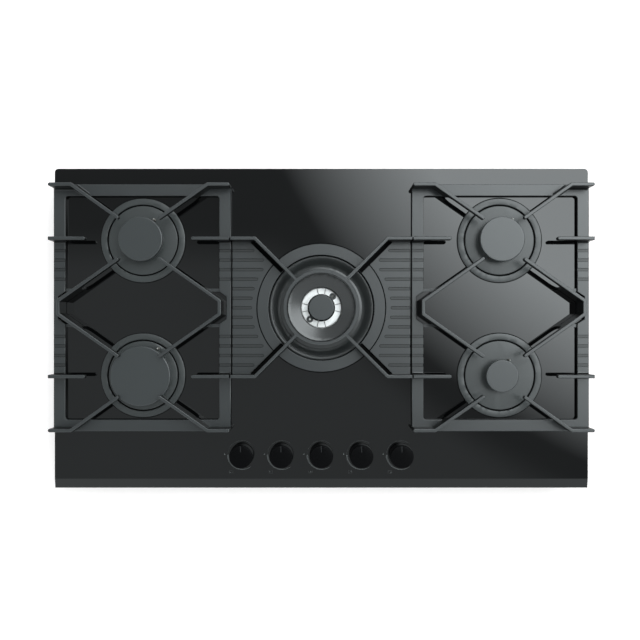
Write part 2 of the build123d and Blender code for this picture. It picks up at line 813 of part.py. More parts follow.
feed_start = tap_y + tap_radius - neck_wall / 2
with BuildPart() as feeds:
    for name, tap in (("front_left", 0), ("rear_left", 1), ("rear_right", 3), ("front_right", 4)):
        x, y = burner_place(name)
        side = burner_side[name]
        end = (x, y - feed_boss_reach + feed_socket - running_gap)
        if burner_row[name] < 0:
            middle = [(tap_x[tap], lane_far - 2 * feed_radius), (x, lane_far - 2 * feed_radius)]
        else:
            lane = side * (lane_x - 2 * feed_radius)
            middle = [
                (tap_x[tap], lane_near - 2 * feed_radius), (lane, lane_near - 2 * feed_radius),
                (lane, lane_rear + 2 * feed_radius), (x, lane_rear + 2 * feed_radius),
            ]
        route = [(tap_x[tap], feed_start)] + middle + [end]
        add(bent_bar(at_height(route, feed_height), feed_radius, feed_bend))
    wok_end = grate_y - wok_block / 2 + feed_socket - running_gap
    add(bar_along((tap_x[2], feed_start, feed_height), (0, 1, 0), feed_radius, wok_end - feed_start))
    second = tap_x[2] + second_outlet
    route = [(second, feed_start), (second, lane_near), (wok_feed_x, lane_near), (wok_feed_x, wok_end)]
    add(bent_bar(at_height(route, feed_height), feed_radius, feed_bend))
save(feeds, "feed_pipes")

saddle_high = manifold_height + manifold_radius - neck_wall
with BuildPart() as taps:
    for index, x in enumerate(tap_x):
        outlet_reach = tap_radius + neck_wall
        add(turned(x, tap_y, [
            (0, tap_low), (tap_radius, tap_low), (tap_radius, tap_high), (tap_neck_radius, tap_high),
            (tap_neck_radius, tap_neck_top), (0, tap_neck_top),
        ]))
        half_saddle = saddle_width / 2
        saddle_low = manifold_height - manifold_radius - neck_wall
        add(block(x - half_saddle, x + half_saddle, tap_y, manifold_y, saddle_low, manifold_height))
        add(block(x - half_saddle, x + half_saddle, tap_y, manifold_y - manifold_radius / 2,
                  manifold_height, saddle_high))
        add(bar_along((x, tap_y, thermo_height), (1, 0, 0), magnet_radius, magnet_reach))
        outlets = [x, x + second_outlet] if index == 2 else [x]
        for outlet in outlets:
            add(bar_along((outlet, tap_y, feed_height), (0, 1, 0), feed_radius + neck_wall, outlet_reach))
        clear_line = bar_along((x - saddle_width, manifold_y, manifold_height), (1, 0, 0),
                               manifold_radius + running_gap, 2 * saddle_width)
        add(clear_line, mode=Mode.SUBTRACT)
        add(rod(x, tap_y, plug_low, plug_high, plug_radius), mode=Mode.SUBTRACT)
        add(rod(x, tap_y, plug_high, tap_neck_top, spindle_radius + running_gap), mode=Mode.SUBTRACT)
        for outlet in outlets:
            pocket = (outlet, feed_start, feed_height)
            add(bar_along(pocket, (0, 1, 0), feed_radius + running_gap, tap_radius), mode=Mode.SUBTRACT)
        gas_way = (x, tap_y, manifold_height)
        add(bar_along(gas_way, (0, 1, 0), gas_way_radius, manifold_y - tap_y), mode=Mode.SUBTRACT)
save(taps, "gas_taps")

# ======== ignition
switch_centre = -switch_length / 2 + tap_neck_radius + neck_wall
loom_y = tap_y - switch_depth / 2
with BuildPart() as switches:
    for x in tap_x:
        centre = x + switch_centre
        add(block(centre - switch_length / 2, centre + switch_length / 2,
                  tap_y - switch_depth / 2, tap_y + switch_depth / 2, tap_high, tap_high + switch_height))
    first = tap_x[0] + switch_centre - switch_length / 2
    last = tap_x[-1] + switch_centre + switch_length / 2
    add(block(first, last, loom_y - loom_width, loom_y, tap_high, tap_high + loom_height))
    for x in tap_x:
        add(rod(x, tap_y, tap_high, tap_high + switch_height, tap_neck_radius + running_gap),
            mode=Mode.SUBTRACT)
    loom_z = tap_high + loom_height / 2
    loom_mid = loom_y - loom_width / 2
    module_top = sheet + module_height
    loom = [
        (first, loom_mid, loom_z), (loom_x, loom_mid, loom_z), (loom_x, module_y, loom_z),
        (module_x, module_y, loom_z), (module_x, module_y, module_top),
    ]
    add(bent_bar(loom, loom_radius, lead_bend))
save(switches, "ignition_switches")

with BuildPart() as module:
    add(block(module_x - module_length / 2, module_x + module_length / 2,
              module_y - module_depth / 2, module_y + module_depth / 2, sheet, module_top))
    fillet(module.edges().filter_by(Axis.Z), module_edge)
save(module, "ignition_module")

with BuildPart() as leads:
    for name in cap_radius:
        (x, y), thermo = probe_places(name)
        side = burner_side[name]
        start_x = module_x + side * module_length / 2
        if burner_row[name] > 0:
            lane_y = module_y + lead_pitch
            route = [(start_x, lane_y), (x, lane_y), (x, y)]
        else:
            lane = side * lead_lane
            route = [(start_x, module_y), (lane, module_y), (lane, y), (x, y)]
        route = at_height(route, lead_height) + [(x, y, spark_low - terminal_length)]
        add(bent_bar(route, lead_radius, lead_bend))
    x, y = wok_spark
    start_x = module_x + module_length / 2
    route = [(start_x, module_y - lead_pitch), (x, module_y - lead_pitch), (x, y)]
    route = at_height(route, lead_height) + [(x, y, spark_low - terminal_length)]
    add(bent_bar(route, lead_radius, lead_bend))
save(leads, "ignition_leads")

with BuildPart() as mains:
    add(block(terminal_x - terminal_box_length / 2, terminal_x + terminal_box_length / 2,
              terminal_y - terminal_box_depth / 2, terminal_y + terminal_box_depth / 2,
              sheet, sheet + terminal_box_height))
    fillet(mains.edges().filter_by(Axis.Z), module_edge)
    start = (terminal_x, tray_rear - gland_inside, gland_height)
    add(bar_along(start, (0, 1, 0), gland_radius, gland_inside + gland_outside))
    add(bar_along((terminal_x, tray_rear, gland_height), (0, 1, 0), gland_flange, gland_outside / 2))
    add(bar_along(start, (0, 1, 0), gland_bore, gland_inside + gland_outside), mode=Mode.SUBTRACT)
save(mains, "mains_inlet")

# ======== plugs, spindles and knobs
knob_low = glass_high + knob_gap
knob_high = knob_low + knob_height
blade_low = shaft_low - blade_height
for index, x in enumerate(tap_x, start=1):
    with BuildPart() as plug:
        add(rod(x, tap_y, plug_low + running_gap, plug_high - running_gap, plug_radius - running_gap))
        bore_low = shaft_low - spindle_travel - seat_gap
        add(rod(x, tap_y, bore_low, plug_high, spindle_radius + running_gap), mode=Mode.SUBTRACT)
        slot_x = blade_width / 2 + running_gap
        slot_y = blade_length / 2 + running_gap
        slot_low = blade_low - spindle_travel - seat_gap
        add(block(x - slot_x, x + slot_x, tap_y - slot_y, tap_y + slot_y, slot_low, bore_low + seat_gap),
            mode=Mode.SUBTRACT)
    save(plug, f"tap_plug_{index}")

    with BuildPart() as spindle:
        shaft_high = glass_high + spindle_top
        add(rod(x, tap_y, shaft_low, shaft_high, spindle_radius))
        add(block(x - blade_width / 2, x + blade_width / 2, tap_y - blade_length / 2,
                  tap_y + blade_length / 2, blade_low, shaft_low))
        flat_y = tap_y + spindle_radius - spindle_flat
        add(block(x - spindle_radius, x + spindle_radius, flat_y, flat_y + spindle_radius,
                  knob_low, shaft_high), mode=Mode.SUBTRACT)
    save(spindle, f"spindle_{index}")

    with BuildPart() as knob:
        add(turned(x, tap_y, [
            (0, knob_low), (knob_skirt, knob_low), (knob_radius, knob_high - knob_edge),
            (knob_radius - knob_edge, knob_high), (0, knob_high),
        ]))
        add(turned(x, tap_y, [
            (knob_boss, knob_low), (knob_skirt - knob_wall, knob_low),
            (knob_radius - knob_wall, knob_high - 2 * knob_wall), (knob_boss, knob_high - 2 * knob_wall),
        ]), mode=Mode.SUBTRACT)
        with BuildSketch(Plane.XY.offset(knob_low)):
            with Locations((x, tap_y)):
                Circle(spindle_radius + running_gap)
            with Locations((x, tap_y + 2 * spindle_radius - spindle_flat + running_gap)):
                Rectangle(2 * knob_boss, 2 * spindle_radius, mode=Mode.SUBTRACT)
        extrude(amount=shaft_high - knob_low + running_gap, mode=Mode.SUBTRACT)
        pointer_y = tap_y + knob_radius - knob_edge - pointer_length / 2
        with BuildSketch(Plane.XY.offset(knob_high - pointer_depth)):
            with Locations((x, pointer_y)):
                SlotOverall(pointer_length, pointer_width, rotation=90)
        extrude(amount=pointer_depth, mode=Mode.SUBTRACT)
    save(knob, f"knob_{index}")


# ======== pan supports
def upright_half(bottom):
    # right half of a finger's cross-section, as (half width, height), with a rounded top edge
    corner = finger_edge * math.sqrt(0.5)
    centre = (half_finger - finger_edge, finger_high - finger_edge)
    return [(half_finger, bottom), (half_finger, centre[1])], [
        (half_finger, centre[1]), (centre[0] + corner, centre[1] + corner), (centre[0], finger_high),
    ]


def finger_post(x, y, bottom):
    # the round end or bend of a finger
    side, edge = upright_half(bottom)
    with BuildPart() as body:
        with BuildSketch(Plane(origin=(x, y, 0), x_dir=(1, 0, 0), z_dir=(0, -1, 0))):
            with BuildLine():
                Polyline((0, finger_high), (0, bottom), *side)
                ThreePointArc(*edge)
                Line(edge[-1], (0, finger_high))
            make_face()
        revolve(axis=Axis((x, y, 0), vertical))
    return body.part


def finger_run(start, end, bottom):
    # a straight stretch of finger between two plan points
    side, edge = upright_half(bottom)
    length = math.dist(start, end)
    along = ((end[0] - start[0]) / length, (end[1] - start[1]) / length, 0)
    across = (-along[1], along[0], 0)
    with BuildPart() as body:
        with BuildSketch(Plane(origin=(*start, 0), x_dir=across, z_dir=along)):
            with BuildLine():
                Polyline((0, finger_high), (0, bottom), *side)
                ThreePointArc(*edge)
                Line(edge[-1], (0, finger_high))
            make_face()
            mirror(about=Plane.YZ)
        extrude(amount=length)
    return body.part


def finger_arch_web(start, end, bottom):
    # the quarter-round web where a finger leaves the bar that carries it
    length = math.dist(start, end)
    along = ((end[0] - start[0]) / length, (end[1] - start[1]) / length, 0)
    upright = (along[1], -along[0], 0)
    with BuildPart() as body:
        with BuildSketch(Plane(origin=(*start, 0), x_dir=along, z_dir=upright)):
            with BuildLine():
                Polyline((finger_arch, finger_low), (finger_arch, finger_low + finger_edge),
                         (0, finger_low + finger_edge), (0, bottom), (finger_edge, bottom),
                         (finger_edge, finger_low - finger_arch + finger_edge))
                RadiusArc((finger_edge, finger_low - finger_arch + finger_edge),
                          (finger_arch, finger_low), finger_arch - finger_edge)
            make_face()
        extrude(amount=half_finger, both=True)
    return body.part


def cut_between(start, end, height_axis_value):
    # the point on a plan line where its Y reaches a value
    share = (height_axis_value - start[1]) / (end[1] - start[1])
    return start[0] + share * (end[0] - start[0]), height_axis_value


def flare_run(start, end):
    # the hollow fillet at the foot of a web
    length = math.dist(start, end)
    along = ((end[0] - start[0]) / length, (end[1] - start[1]) / length, 0)
    across = (-along[1], along[0], 0)
    wide = half_finger + root_flare
    bend = root_flare * (1 - math.sqrt(0.5))
    with BuildPart() as body:
        with BuildSketch(Plane(origin=(*start, 0), x_dir=across, z_dir=along)):
            with BuildLine():
                Polyline((0, bar_high + root_flare), (0, bar_high), (wide, bar_high))
                ThreePointArc((wide, bar_high), (half_finger + bend, bar_high + bend),
                              (half_finger, bar_high + root_flare))
                Line((half_finger, bar_high + root_flare), (0, bar_high + root_flare))
            make_face()
            mirror(about=Plane.YZ)
        extrude(amount=length)
    return body.part


finger_foot = bar_high - root_flare


def side_fingers(side):
    # every finger of a side support as (stretch on the bar, where it leaves the bar, tip)
    fingers = []
    for end in (-1, 1):
        row = grate_y + end * burner_offset
        ear = grate_y + end * ear_y
        edge = grate_y + end * (side_rear - grate_y - side_bar)
        for ear_end, bend, tip, tip_row in (
            (ear_outer_end, ear_outer_bend, burner_x + tip_outer, tip_outer_row),
            (ear_inner_end, ear_inner_bend, burner_x - tip_inner, tip_inner_row),
        ):
            bend_point = (side * bend, ear)
            tip_point = (side * tip, row + end * tip_row)
            leave = cut_between(bend_point, tip_point, edge)
            fingers.append(([(side * ear_end, ear), bend_point, leave], tip_point, True))
        outer_start = (side * side_outer, row)
        inner_start = (side * side_inner, row)
        fingers.append(([outer_start, (side * (side_outer - side_bar), row)],
                        (side * (burner_x + mid_tip_outer), row), False))
        fingers.append(([inner_start, (side * (side_inner + side_bar), row)],
                        (side * (burner_x - mid_tip_inner), row), False))
    return fingers


def build_fingers(fingers):
    parts = []
    for path, tip, round_start in fingers:
        if round_start:
            parts.append(finger_post(*path[0], finger_foot))
        for start, end in zip(path, path[1:]):
            parts.append(finger_run(start, end, finger_foot))
        for bend in path[1:-1]:
            parts.append(finger_post(*bend, finger_foot))
        parts.append(finger_arch_web(path[-1], tip, finger_foot))
        parts.append(finger_run(path[-1], tip, finger_low))
        parts.append(finger_post(*tip, finger_low))
    return parts


def build_bracket(side, bend_x, tip_x, tip_row):
    # a V-shaped finger whose web stands beside its bar and reaches both burners
    parts = []
    low_bend = (side * bend_x, grate_y - bracket_half)
    high_bend = (side * bend_x, grate_y + bracket_half)
    parts.append(finger_run(low_bend, high_bend, bar_low))
    for end, bend in ((-1, low_bend), (1, high_bend)):
        tip = (side * tip_x, grate_y + end * (burner_offset - tip_row))
        leave = cut_between(bend, tip, grate_y + end * (notch_mouth + notch_tab))
        parts.append(finger_post(*bend, bar_low))
        parts.append(finger_run(bend, leave, bar_low))
        parts.append(finger_arch_web(leave, tip, bar_low))
        parts.append(finger_run(leave, tip, finger_low))
        parts.append(finger_post(*tip, finger_low))
    return parts


def side_flares(side, fingers):
    # the hollow fillets at the feet of the webs, kept to the top of the bars
    with BuildPart() as flares:
        for path, *_ in fingers:
            for start, end in zip(path, path[1:]):
                add(flare_run(start, end))
        with BuildSketch(Plane.XY.offset(bar_high)):
            with Locations((side * (side_inner + side_outer) / 2, grate_y)):
                length = side_outer - side_inner - 2 * bar_edge
                width = 2 * (side_rear - grate_y - bar_edge)
                RectangleRounded(length, width, side_corner)
                opening = 2 * (side_bar - 2 * bar_edge)
                RectangleRounded(length - opening, width - opening, window_corner, mode=Mode.SUBTRACT)
        extrude(amount=root_flare, mode=Mode.INTERSECT)
    return flares.part


def side_support(side):
    x_low, x_high = sorted((side * side_inner, side * side_outer))
    y_low = 2 * grate_y - side_rear
    fingers = side_fingers(side)
    brackets = (
        (burner_x + bracket_offset, burner_x + tip_outer, tip_outer_row),
        (burner_x - bracket_offset, burner_x - tip_inner, tip_inner_row),
    )
    bar_edges = ((side_outer - side_bar, 1), (side_inner + side_bar, -1))
    with BuildPart() as support:
        with BuildSketch(Plane.XY.offset(bar_low)):
            with Locations(((x_low + x_high) / 2, grate_y)):
                RectangleRounded(x_high - x_low, side_rear - y_low, side_corner)
                RectangleRounded(x_high - x_low - 2 * side_bar, side_rear - y_low - 2 * side_bar,
                                 window_corner, mode=Mode.SUBTRACT)
            # notches round the brackets
            for edge, inward in bar_edges:
                deep = side * (edge + inward * notch_depth)
                open_x = side * (edge - inward * loose_gap)
                with BuildLine():
                    Polyline((open_x, grate_y - notch_mouth), (deep, grate_y - notch_half),
                             (deep, grate_y + notch_half), (open_x, grate_y + notch_mouth), close=True)
                make_face(mode=Mode.SUBTRACT)
        extrude(amount=bar_high - bar_low)
        fillet(support.faces().sort_by(Axis.Z)[-1].edges(), bar_edge)
        # grooves across both side bars
        for bar in (side_inner + side_bar / 2, side_outer - side_bar / 2):
            for end in (-1, 1):
                for step in range(side_groove_first, side_groove_first + side_groove_count):
                    groove_y = grate_y + end * step * groove_pitch
                    add(block(side * bar - side_bar, side * bar + side_bar, groove_y - groove_width / 2,
                              groove_y + groove_width / 2, bar_high - groove_depth, bar_high),
                        mode=Mode.SUBTRACT)
        # tabs that join the brackets to the bars
        for (bend, tip, tip_row), (edge, inward) in zip(brackets, bar_edges):
            for end in (-1, 1):
                tab_y = grate_y + end * (notch_mouth + notch_tab / 2)
                web = cut_between((side * bend, grate_y + end * bracket_half),
                                  (side * tip, grate_y + end * (burner_offset - tip_row)), tab_y)
                x_ends = sorted((web[0], side * (edge + inward * root_flare)))
                add(block(*x_ends, tab_y - notch_tab / 2, tab_y + notch_tab / 2,
                          bar_low, bar_low + notch_tab_height))
        add(side_flares(side, fingers))
        for finger in build_fingers(fingers):
            add(finger)
        for bracket in brackets:
            for finger in build_bracket(side, *bracket):
                add(finger)
        for x, y in side_pads(side):
            add(rod(x, y, bar_low, bar_low + pad_peg + running_gap, pad_peg_radius + running_gap),
                mode=Mode.SUBTRACT)
    return support


def side_pads(side):
    inner = side_inner + side_bar / 2
    outer = side_outer - side_bar / 2
    rear = side_rear - grate_y - side_bar / 2
    return [(side * x, grate_y + end * rear) for x in (inner, outer) for end in (-1, 1)]


def save_pads(places, name):
    with BuildPart() as pads:
        for x, y in places:
            add(rod(x, y, glass_high, bar_low, pad_radius))
            add(rod(x, y, bar_low, bar_low + pad_peg, pad_peg_radius))
    save(pads, name)


for side, name in ((-1, "left"), (1, "right")):
    save(side_support(side), f"pan_support_{name}")
    save_pads(side_pads(side), f"support_pads_{name}")

# the centre support: two ribbed plates, a base ring round the wok burner, and a top ring on four fingers
rear_offset = half_finger * math.sqrt(2)
bend_reach = burner_offset
leave_reach = (annulus_inner + finger_edge + loose_gap) * math.sqrt(0.5)
ring_reach = (centre_ring_outer + centre_ring_inner) / 2 * math.sqrt(0.5)
pad_reach = centre_half - side_bar / 2
pad_row = centre_plate_half - side_bar / 2
centre_pads = [(x * pad_reach, grate_y + y * pad_row) for x in (-1, 1) for y in (-1, 1)]
with BuildPart() as centre:
    with BuildSketch(Plane.XY.offset(bar_low)):
        for side in (-1, 1):
            with BuildLine():
                Polyline(
                    (side * centre_half, grate_y - centre_plate_half),
                    (side * centre_half, grate_y + centre_plate_half),
                    (side * (centre_plate_half - rear_offset), grate_y + centre_plate_half),
                    (0, grate_y + rear_offset), (0, grate_y - rear_offset),
                    (side * (centre_plate_half - rear_offset), grate_y - centre_plate_half),
                    close=True,
                )
            make_face()
        with Locations((0, grate_y)):
            Circle(annulus_outer)
            Circle(annulus_inner, mode=Mode.SUBTRACT)
    extrude(amount=bar_high - bar_low)
    fillet(centre.faces().sort_by(Axis.Z)[-1].edges(), bar_edge)
    # the line between the plates and the base ring
    with BuildSketch(Plane.XY.offset(bar_high - groove_depth)):
        with Locations((0, grate_y)):
            Circle(annulus_outer)
            Circle(annulus_outer - annulus_line, mode=Mode.SUBTRACT)
    extrude(amount=groove_depth, mode=Mode.SUBTRACT)
    # channels beside the diagonal webs
    for quarter in range(4):
        angle = 45 + 90 * quarter
        reach = (leave_reach + bend_reach) / 2 * math.sqrt(2)
        length = (bend_reach - leave_reach) * math.sqrt(2) + annulus_line
        with BuildSketch(Plane.XY.offset(bar_low + channel_floor)):
            with Locations(Location((*polar(0, grate_y, reach, angle), 0), (0, 0, angle))):
                Rectangle(length, finger_width + 2 * channel_width)
        extrude(amount=bar_high - bar_low - channel_floor, mode=Mode.SUBTRACT)
    # grooves
    with BuildSketch(Plane.XY.offset(bar_high - groove_depth)):
        for step in range(-centre_groove_count, centre_groove_count + 1):
            offset_y = step * groove_pitch
            by_ring = math.sqrt(max(centre_groove_radius ** 2 - offset_y ** 2, 0))
            inner_end = max(by_ring, abs(offset_y) + centre_groove_gap)
            outer_end = centre_half + groove_width
            for side in (-1, 1):
                with Locations((side * (inner_end + outer_end) / 2, grate_y + offset_y)):
                    SlotOverall(outer_end - inner_end, groove_width)
    extrude(amount=groove_depth, mode=Mode.SUBTRACT)
    # fingers
    for side in (-1, 1):
        for end in (-1, 1):
            start = (side * centre_half, grate_y + end * bend_reach)
            bend = (side * (bend_reach - 2 * centre_finger_shift), grate_y + end * bend_reach)
            leave, tip = (
                (side * (reach - centre_finger_shift), grate_y + end * (reach + centre_finger_shift))
                for reach in (leave_reach, ring_reach)
            )
            add(finger_run(start, bend, finger_foot))
            add(finger_post(*bend, finger_foot))
            add(finger_run(bend, leave, bar_low))
            add(finger_arch_web(leave, tip, bar_low))
            add(finger_run(leave, tip, finger_low))
    ring_edge = finger_edge / 2
    add(turned(0, grate_y, [
        (centre_ring_inner, finger_low), (centre_ring_outer, finger_low),
        (centre_ring_outer, finger_high - ring_edge), (centre_ring_outer - ring_edge, finger_high),
        (centre_ring_inner + ring_edge, finger_high), (centre_ring_inner, finger_high - ring_edge),
    ]))
    add(rod(0, grate_y, finger_low, finger_high, centre_ring_inner), mode=Mode.SUBTRACT)
    for x, y in centre_pads:
        add(rod(x, y, bar_low, bar_low + pad_peg + running_gap, pad_peg_radius + running_gap),
            mode=Mode.SUBTRACT)
save(centre, "pan_support_centre")
save_pads(centre_pads, "support_pads_centre")
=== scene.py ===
import json
import math

import bpy
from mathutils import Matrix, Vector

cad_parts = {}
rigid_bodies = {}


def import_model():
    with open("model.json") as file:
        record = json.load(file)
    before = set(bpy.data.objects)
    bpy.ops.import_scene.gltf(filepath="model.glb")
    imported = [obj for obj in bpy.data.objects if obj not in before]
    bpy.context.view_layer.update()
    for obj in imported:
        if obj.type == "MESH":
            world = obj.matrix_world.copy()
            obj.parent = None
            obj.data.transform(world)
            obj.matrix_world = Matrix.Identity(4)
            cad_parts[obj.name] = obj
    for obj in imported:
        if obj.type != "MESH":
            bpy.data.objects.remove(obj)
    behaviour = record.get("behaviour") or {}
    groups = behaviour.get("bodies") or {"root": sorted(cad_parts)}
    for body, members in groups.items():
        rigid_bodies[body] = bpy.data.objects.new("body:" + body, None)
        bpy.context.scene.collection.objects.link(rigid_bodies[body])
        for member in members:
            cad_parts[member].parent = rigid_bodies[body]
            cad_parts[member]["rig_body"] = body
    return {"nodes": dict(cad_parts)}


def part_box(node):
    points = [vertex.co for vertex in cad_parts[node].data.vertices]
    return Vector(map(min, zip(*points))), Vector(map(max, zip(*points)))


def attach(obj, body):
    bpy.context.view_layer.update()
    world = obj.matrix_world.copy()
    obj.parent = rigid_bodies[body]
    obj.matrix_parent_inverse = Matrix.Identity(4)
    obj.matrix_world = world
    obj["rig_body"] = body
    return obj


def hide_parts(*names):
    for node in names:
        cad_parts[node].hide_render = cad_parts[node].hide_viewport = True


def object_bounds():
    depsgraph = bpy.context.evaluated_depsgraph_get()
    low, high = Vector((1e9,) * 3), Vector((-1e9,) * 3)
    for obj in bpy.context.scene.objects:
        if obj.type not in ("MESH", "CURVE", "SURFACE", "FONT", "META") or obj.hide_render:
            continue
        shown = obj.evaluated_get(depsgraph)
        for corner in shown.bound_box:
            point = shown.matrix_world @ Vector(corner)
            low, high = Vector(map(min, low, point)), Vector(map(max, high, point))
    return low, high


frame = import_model()
nodes = frame["nodes"]
cadLow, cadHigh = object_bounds()
scene = bpy.context.scene
scene.view_settings.view_transform = "Standard"

burnerNames = ("rear_left", "front_left", "rear_right", "front_right")
sideNames = ("left", "centre", "right")
knobNumbers = range(1, 6)
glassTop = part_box("glass_top")[1].z
print("frame loaded:", len(nodes), "pieces")

# small helpers for node materials
socketNames = {
    "colour": "Base Color", "metallic": "Metallic", "roughness": "Roughness", "ior": "IOR",
    "specular": "Specular IOR Level",
}


def newMaterial(name, **values):
    # a Principled material; values are set straight on the shader's sockets
    material = bpy.data.materials.new(name)
    material.use_nodes = True
    shader = material.node_tree.nodes["Principled BSDF"]
    for label, value in values.items():
        shader.inputs[socketNames[label]].default_value = value
    return material, material.node_tree, shader


def addNode(tree, kind, place, **inputs):
    node = tree.nodes.new(kind)
    node.location = place
    for label, value in inputs.items():
        node.inputs[label.replace("_", " ")].default_value = value
    return node


def mathNode(tree, operation, place, *values):
    # each value is a number, or the socket that feeds the node
    node = tree.nodes.new("ShaderNodeMath")
    node.operation = operation
    node.location = place
    for index, value in enumerate(values):
        if isinstance(value, (int, float)):
            node.inputs[index].default_value = value
        else:
            tree.links.new(value, node.inputs[index])
    return node.outputs[0]


def rangeNode(tree, value, place, fromRange, toRange, smooth=False):
    # carries a value from one range over to another
    node = tree.nodes.new("ShaderNodeMapRange")
    node.location = place
    if smooth:
        node.interpolation_type = "SMOOTHSTEP"
    tree.links.new(value, node.inputs["Value"])
    for label, number in zip(("From Min", "From Max", "To Min", "To Max"), (*fromRange, *toRange)):
        node.inputs[label].default_value = number
    return node.outputs[0]


def groupSockets(group, inputs, outputs):
    # the first input and the first output carry a colour, the others a number
    for way, labels in (("INPUT", inputs), ("OUTPUT", outputs)):
        for label in labels:
            kind = "NodeSocketColor" if label == labels[0] else "NodeSocketFloat"
            group.interface.new_socket(label, in_out=way, socket_type=kind)
    start = group.nodes.new("NodeGroupInput")
    start.location = (-900, 0)
    end = group.nodes.new("NodeGroupOutput")
    end.location = (600, 0)
    return start, end


def objectPoint(tree, place):
    coordinates = tree.nodes.new("ShaderNodeTexCoord")
    coordinates.location = place
    return coordinates.outputs["Object"]


# effects that several finishes share
pattern = {
    "middle": 0.5,  # what a noise swings round
    "grainDetail": 3.0, "grainRoughness": 0.6, "cloudScale": 18.0, "cloudDetail": 2.0,
    "lineStretch": (0.03, 1, 1), "lineDetail": 2.0,
}


def shiftTone(group, start, noise):
    # the colour made lighter and darker by a noise, and the share by which it is
    swing = mathNode(group, "SUBTRACT", (-450, 200), noise, pattern["middle"])
    share = mathNode(group, "MULTIPLY_ADD", (-270, 200), swing, start.outputs["Spread"], 1.0)
    toned = addNode(group, "ShaderNodeVectorMath", (-80, 200))
    toned.operation = "SCALE"
    group.links.new(start.outputs["Colour"], toned.inputs[0])
    group.links.new(share, toned.inputs["Scale"])
    return toned.outputs[0], share


def makeSpeckle():
    # fine uneven colour and roughness over a surface, with a grain to bump
    group = bpy.data.node_groups.new("speckle", "ShaderNodeTree")
    start, end = groupSockets(group, ("Colour", "Spread", "Scale", "Roughness", "Unevenness"),
                              ("Colour", "Roughness", "Grain"))
    point = objectPoint(group, (-900, 300))
    grain = addNode(group, "ShaderNodeTexNoise", (-650, 300),
                    Detail=pattern["grainDetail"], Roughness=pattern["grainRoughness"])
    group.links.new(point, grain.inputs["Vector"])
    group.links.new(start.outputs["Scale"], grain.inputs["Scale"])
    cloud = addNode(group, "ShaderNodeTexNoise", (-650, -200),
                    Scale=pattern["cloudScale"], Detail=pattern["cloudDetail"])
    group.links.new(point, cloud.inputs["Vector"])
    toned, _ = shiftTone(group, start, grain.outputs["Fac"])
    uneven = mathNode(group, "SUBTRACT", (-450, -200), cloud.outputs["Fac"], pattern["middle"])
    rough = mathNode(group, "MULTIPLY_ADD", (-270, -200), uneven, start.outputs["Unevenness"],
                     start.outputs["Roughness"])
    group.links.new(toned, end.inputs["Colour"])
    group.links.new(rough, end.inputs["Roughness"])
    group.links.new(grain.outputs["Fac"], end.inputs["Grain"])
    return group


def makeBrushed():
    # fine lines along X, as a rolled or turned metal has
    group = bpy.data.node_groups.new("brushedLines", "ShaderNodeTree")
    start, end = groupSockets(group, ("Colour", "Spread", "Fineness", "Roughness"),
                              ("Colour", "Roughness", "Lines"))
    point = objectPoint(group, (-1100, 300))
    stretch = addNode(group, "ShaderNodeMapping", (-850, 300), Scale=pattern["lineStretch"])
    group.links.new(point, stretch.inputs["Vector"])
    lines = addNode(group, "ShaderNodeTexNoise", (-620, 300), Detail=pattern["lineDetail"])
    group.links.new(stretch.outputs[0], lines.inputs["Vector"])
    group.links.new(start.outputs["Fineness"], lines.inputs["Scale"])
    toned, share = shiftTone(group, start, lines.outputs["Fac"])
    rough = mathNode(group, "MULTIPLY", (-250, -100), share, start.outputs["Roughness"])
    group.links.new(toned, end.inputs["Colour"])
    group.links.new(rough, end.inputs["Roughness"])
    group.links.new(lines.outputs["Fac"], end.inputs["Lines"])
    return group


speckleGroup = makeSpeckle()
brushedGroup = makeBrushed()


def useGroup(tree, shader, group, height, heightDepth, **inputs):
    # places a shared effect in a material, with its own values
    node = tree.nodes.new("ShaderNodeGroup")
    node.node_tree = group
    node.location = (-600, 100)
    for label, value in inputs.items():
        node.inputs[label].default_value = value
    bump = addNode(tree, "ShaderNodeBump", (-300, -250), Strength=1.0, Distance=heightDepth)
    tree.links.new(node.outputs["Colour"], shader.inputs["Base Color"])
    tree.links.new(node.outputs["Roughness"], shader.inputs["Roughness"])
    tree.links.new(node.outputs[height], bump.inputs["Height"])
    tree.links.new(bump.outputs["Normal"], shader.inputs["Normal"])


def speckled(name, colour, spread, scale, roughness, unevenness, depth, **values):
    material, tree, shader = newMaterial(name, **values)
    useGroup(tree, shader, speckleGroup, "Grain", depth, Colour=(*colour, 1), Spread=spread,
             Scale=scale, Roughness=roughness, Unevenness=unevenness)
    return material


def brushed(name, colour, spread, fineness, roughness, depth, **values):
    material, tree, shader = newMaterial(name, **values)
    useGroup(tree, shader, brushedGroup, "Lines", depth, Colour=(*colour, 1), Spread=spread,
             Fineness=fineness, Roughness=roughness)
    return material


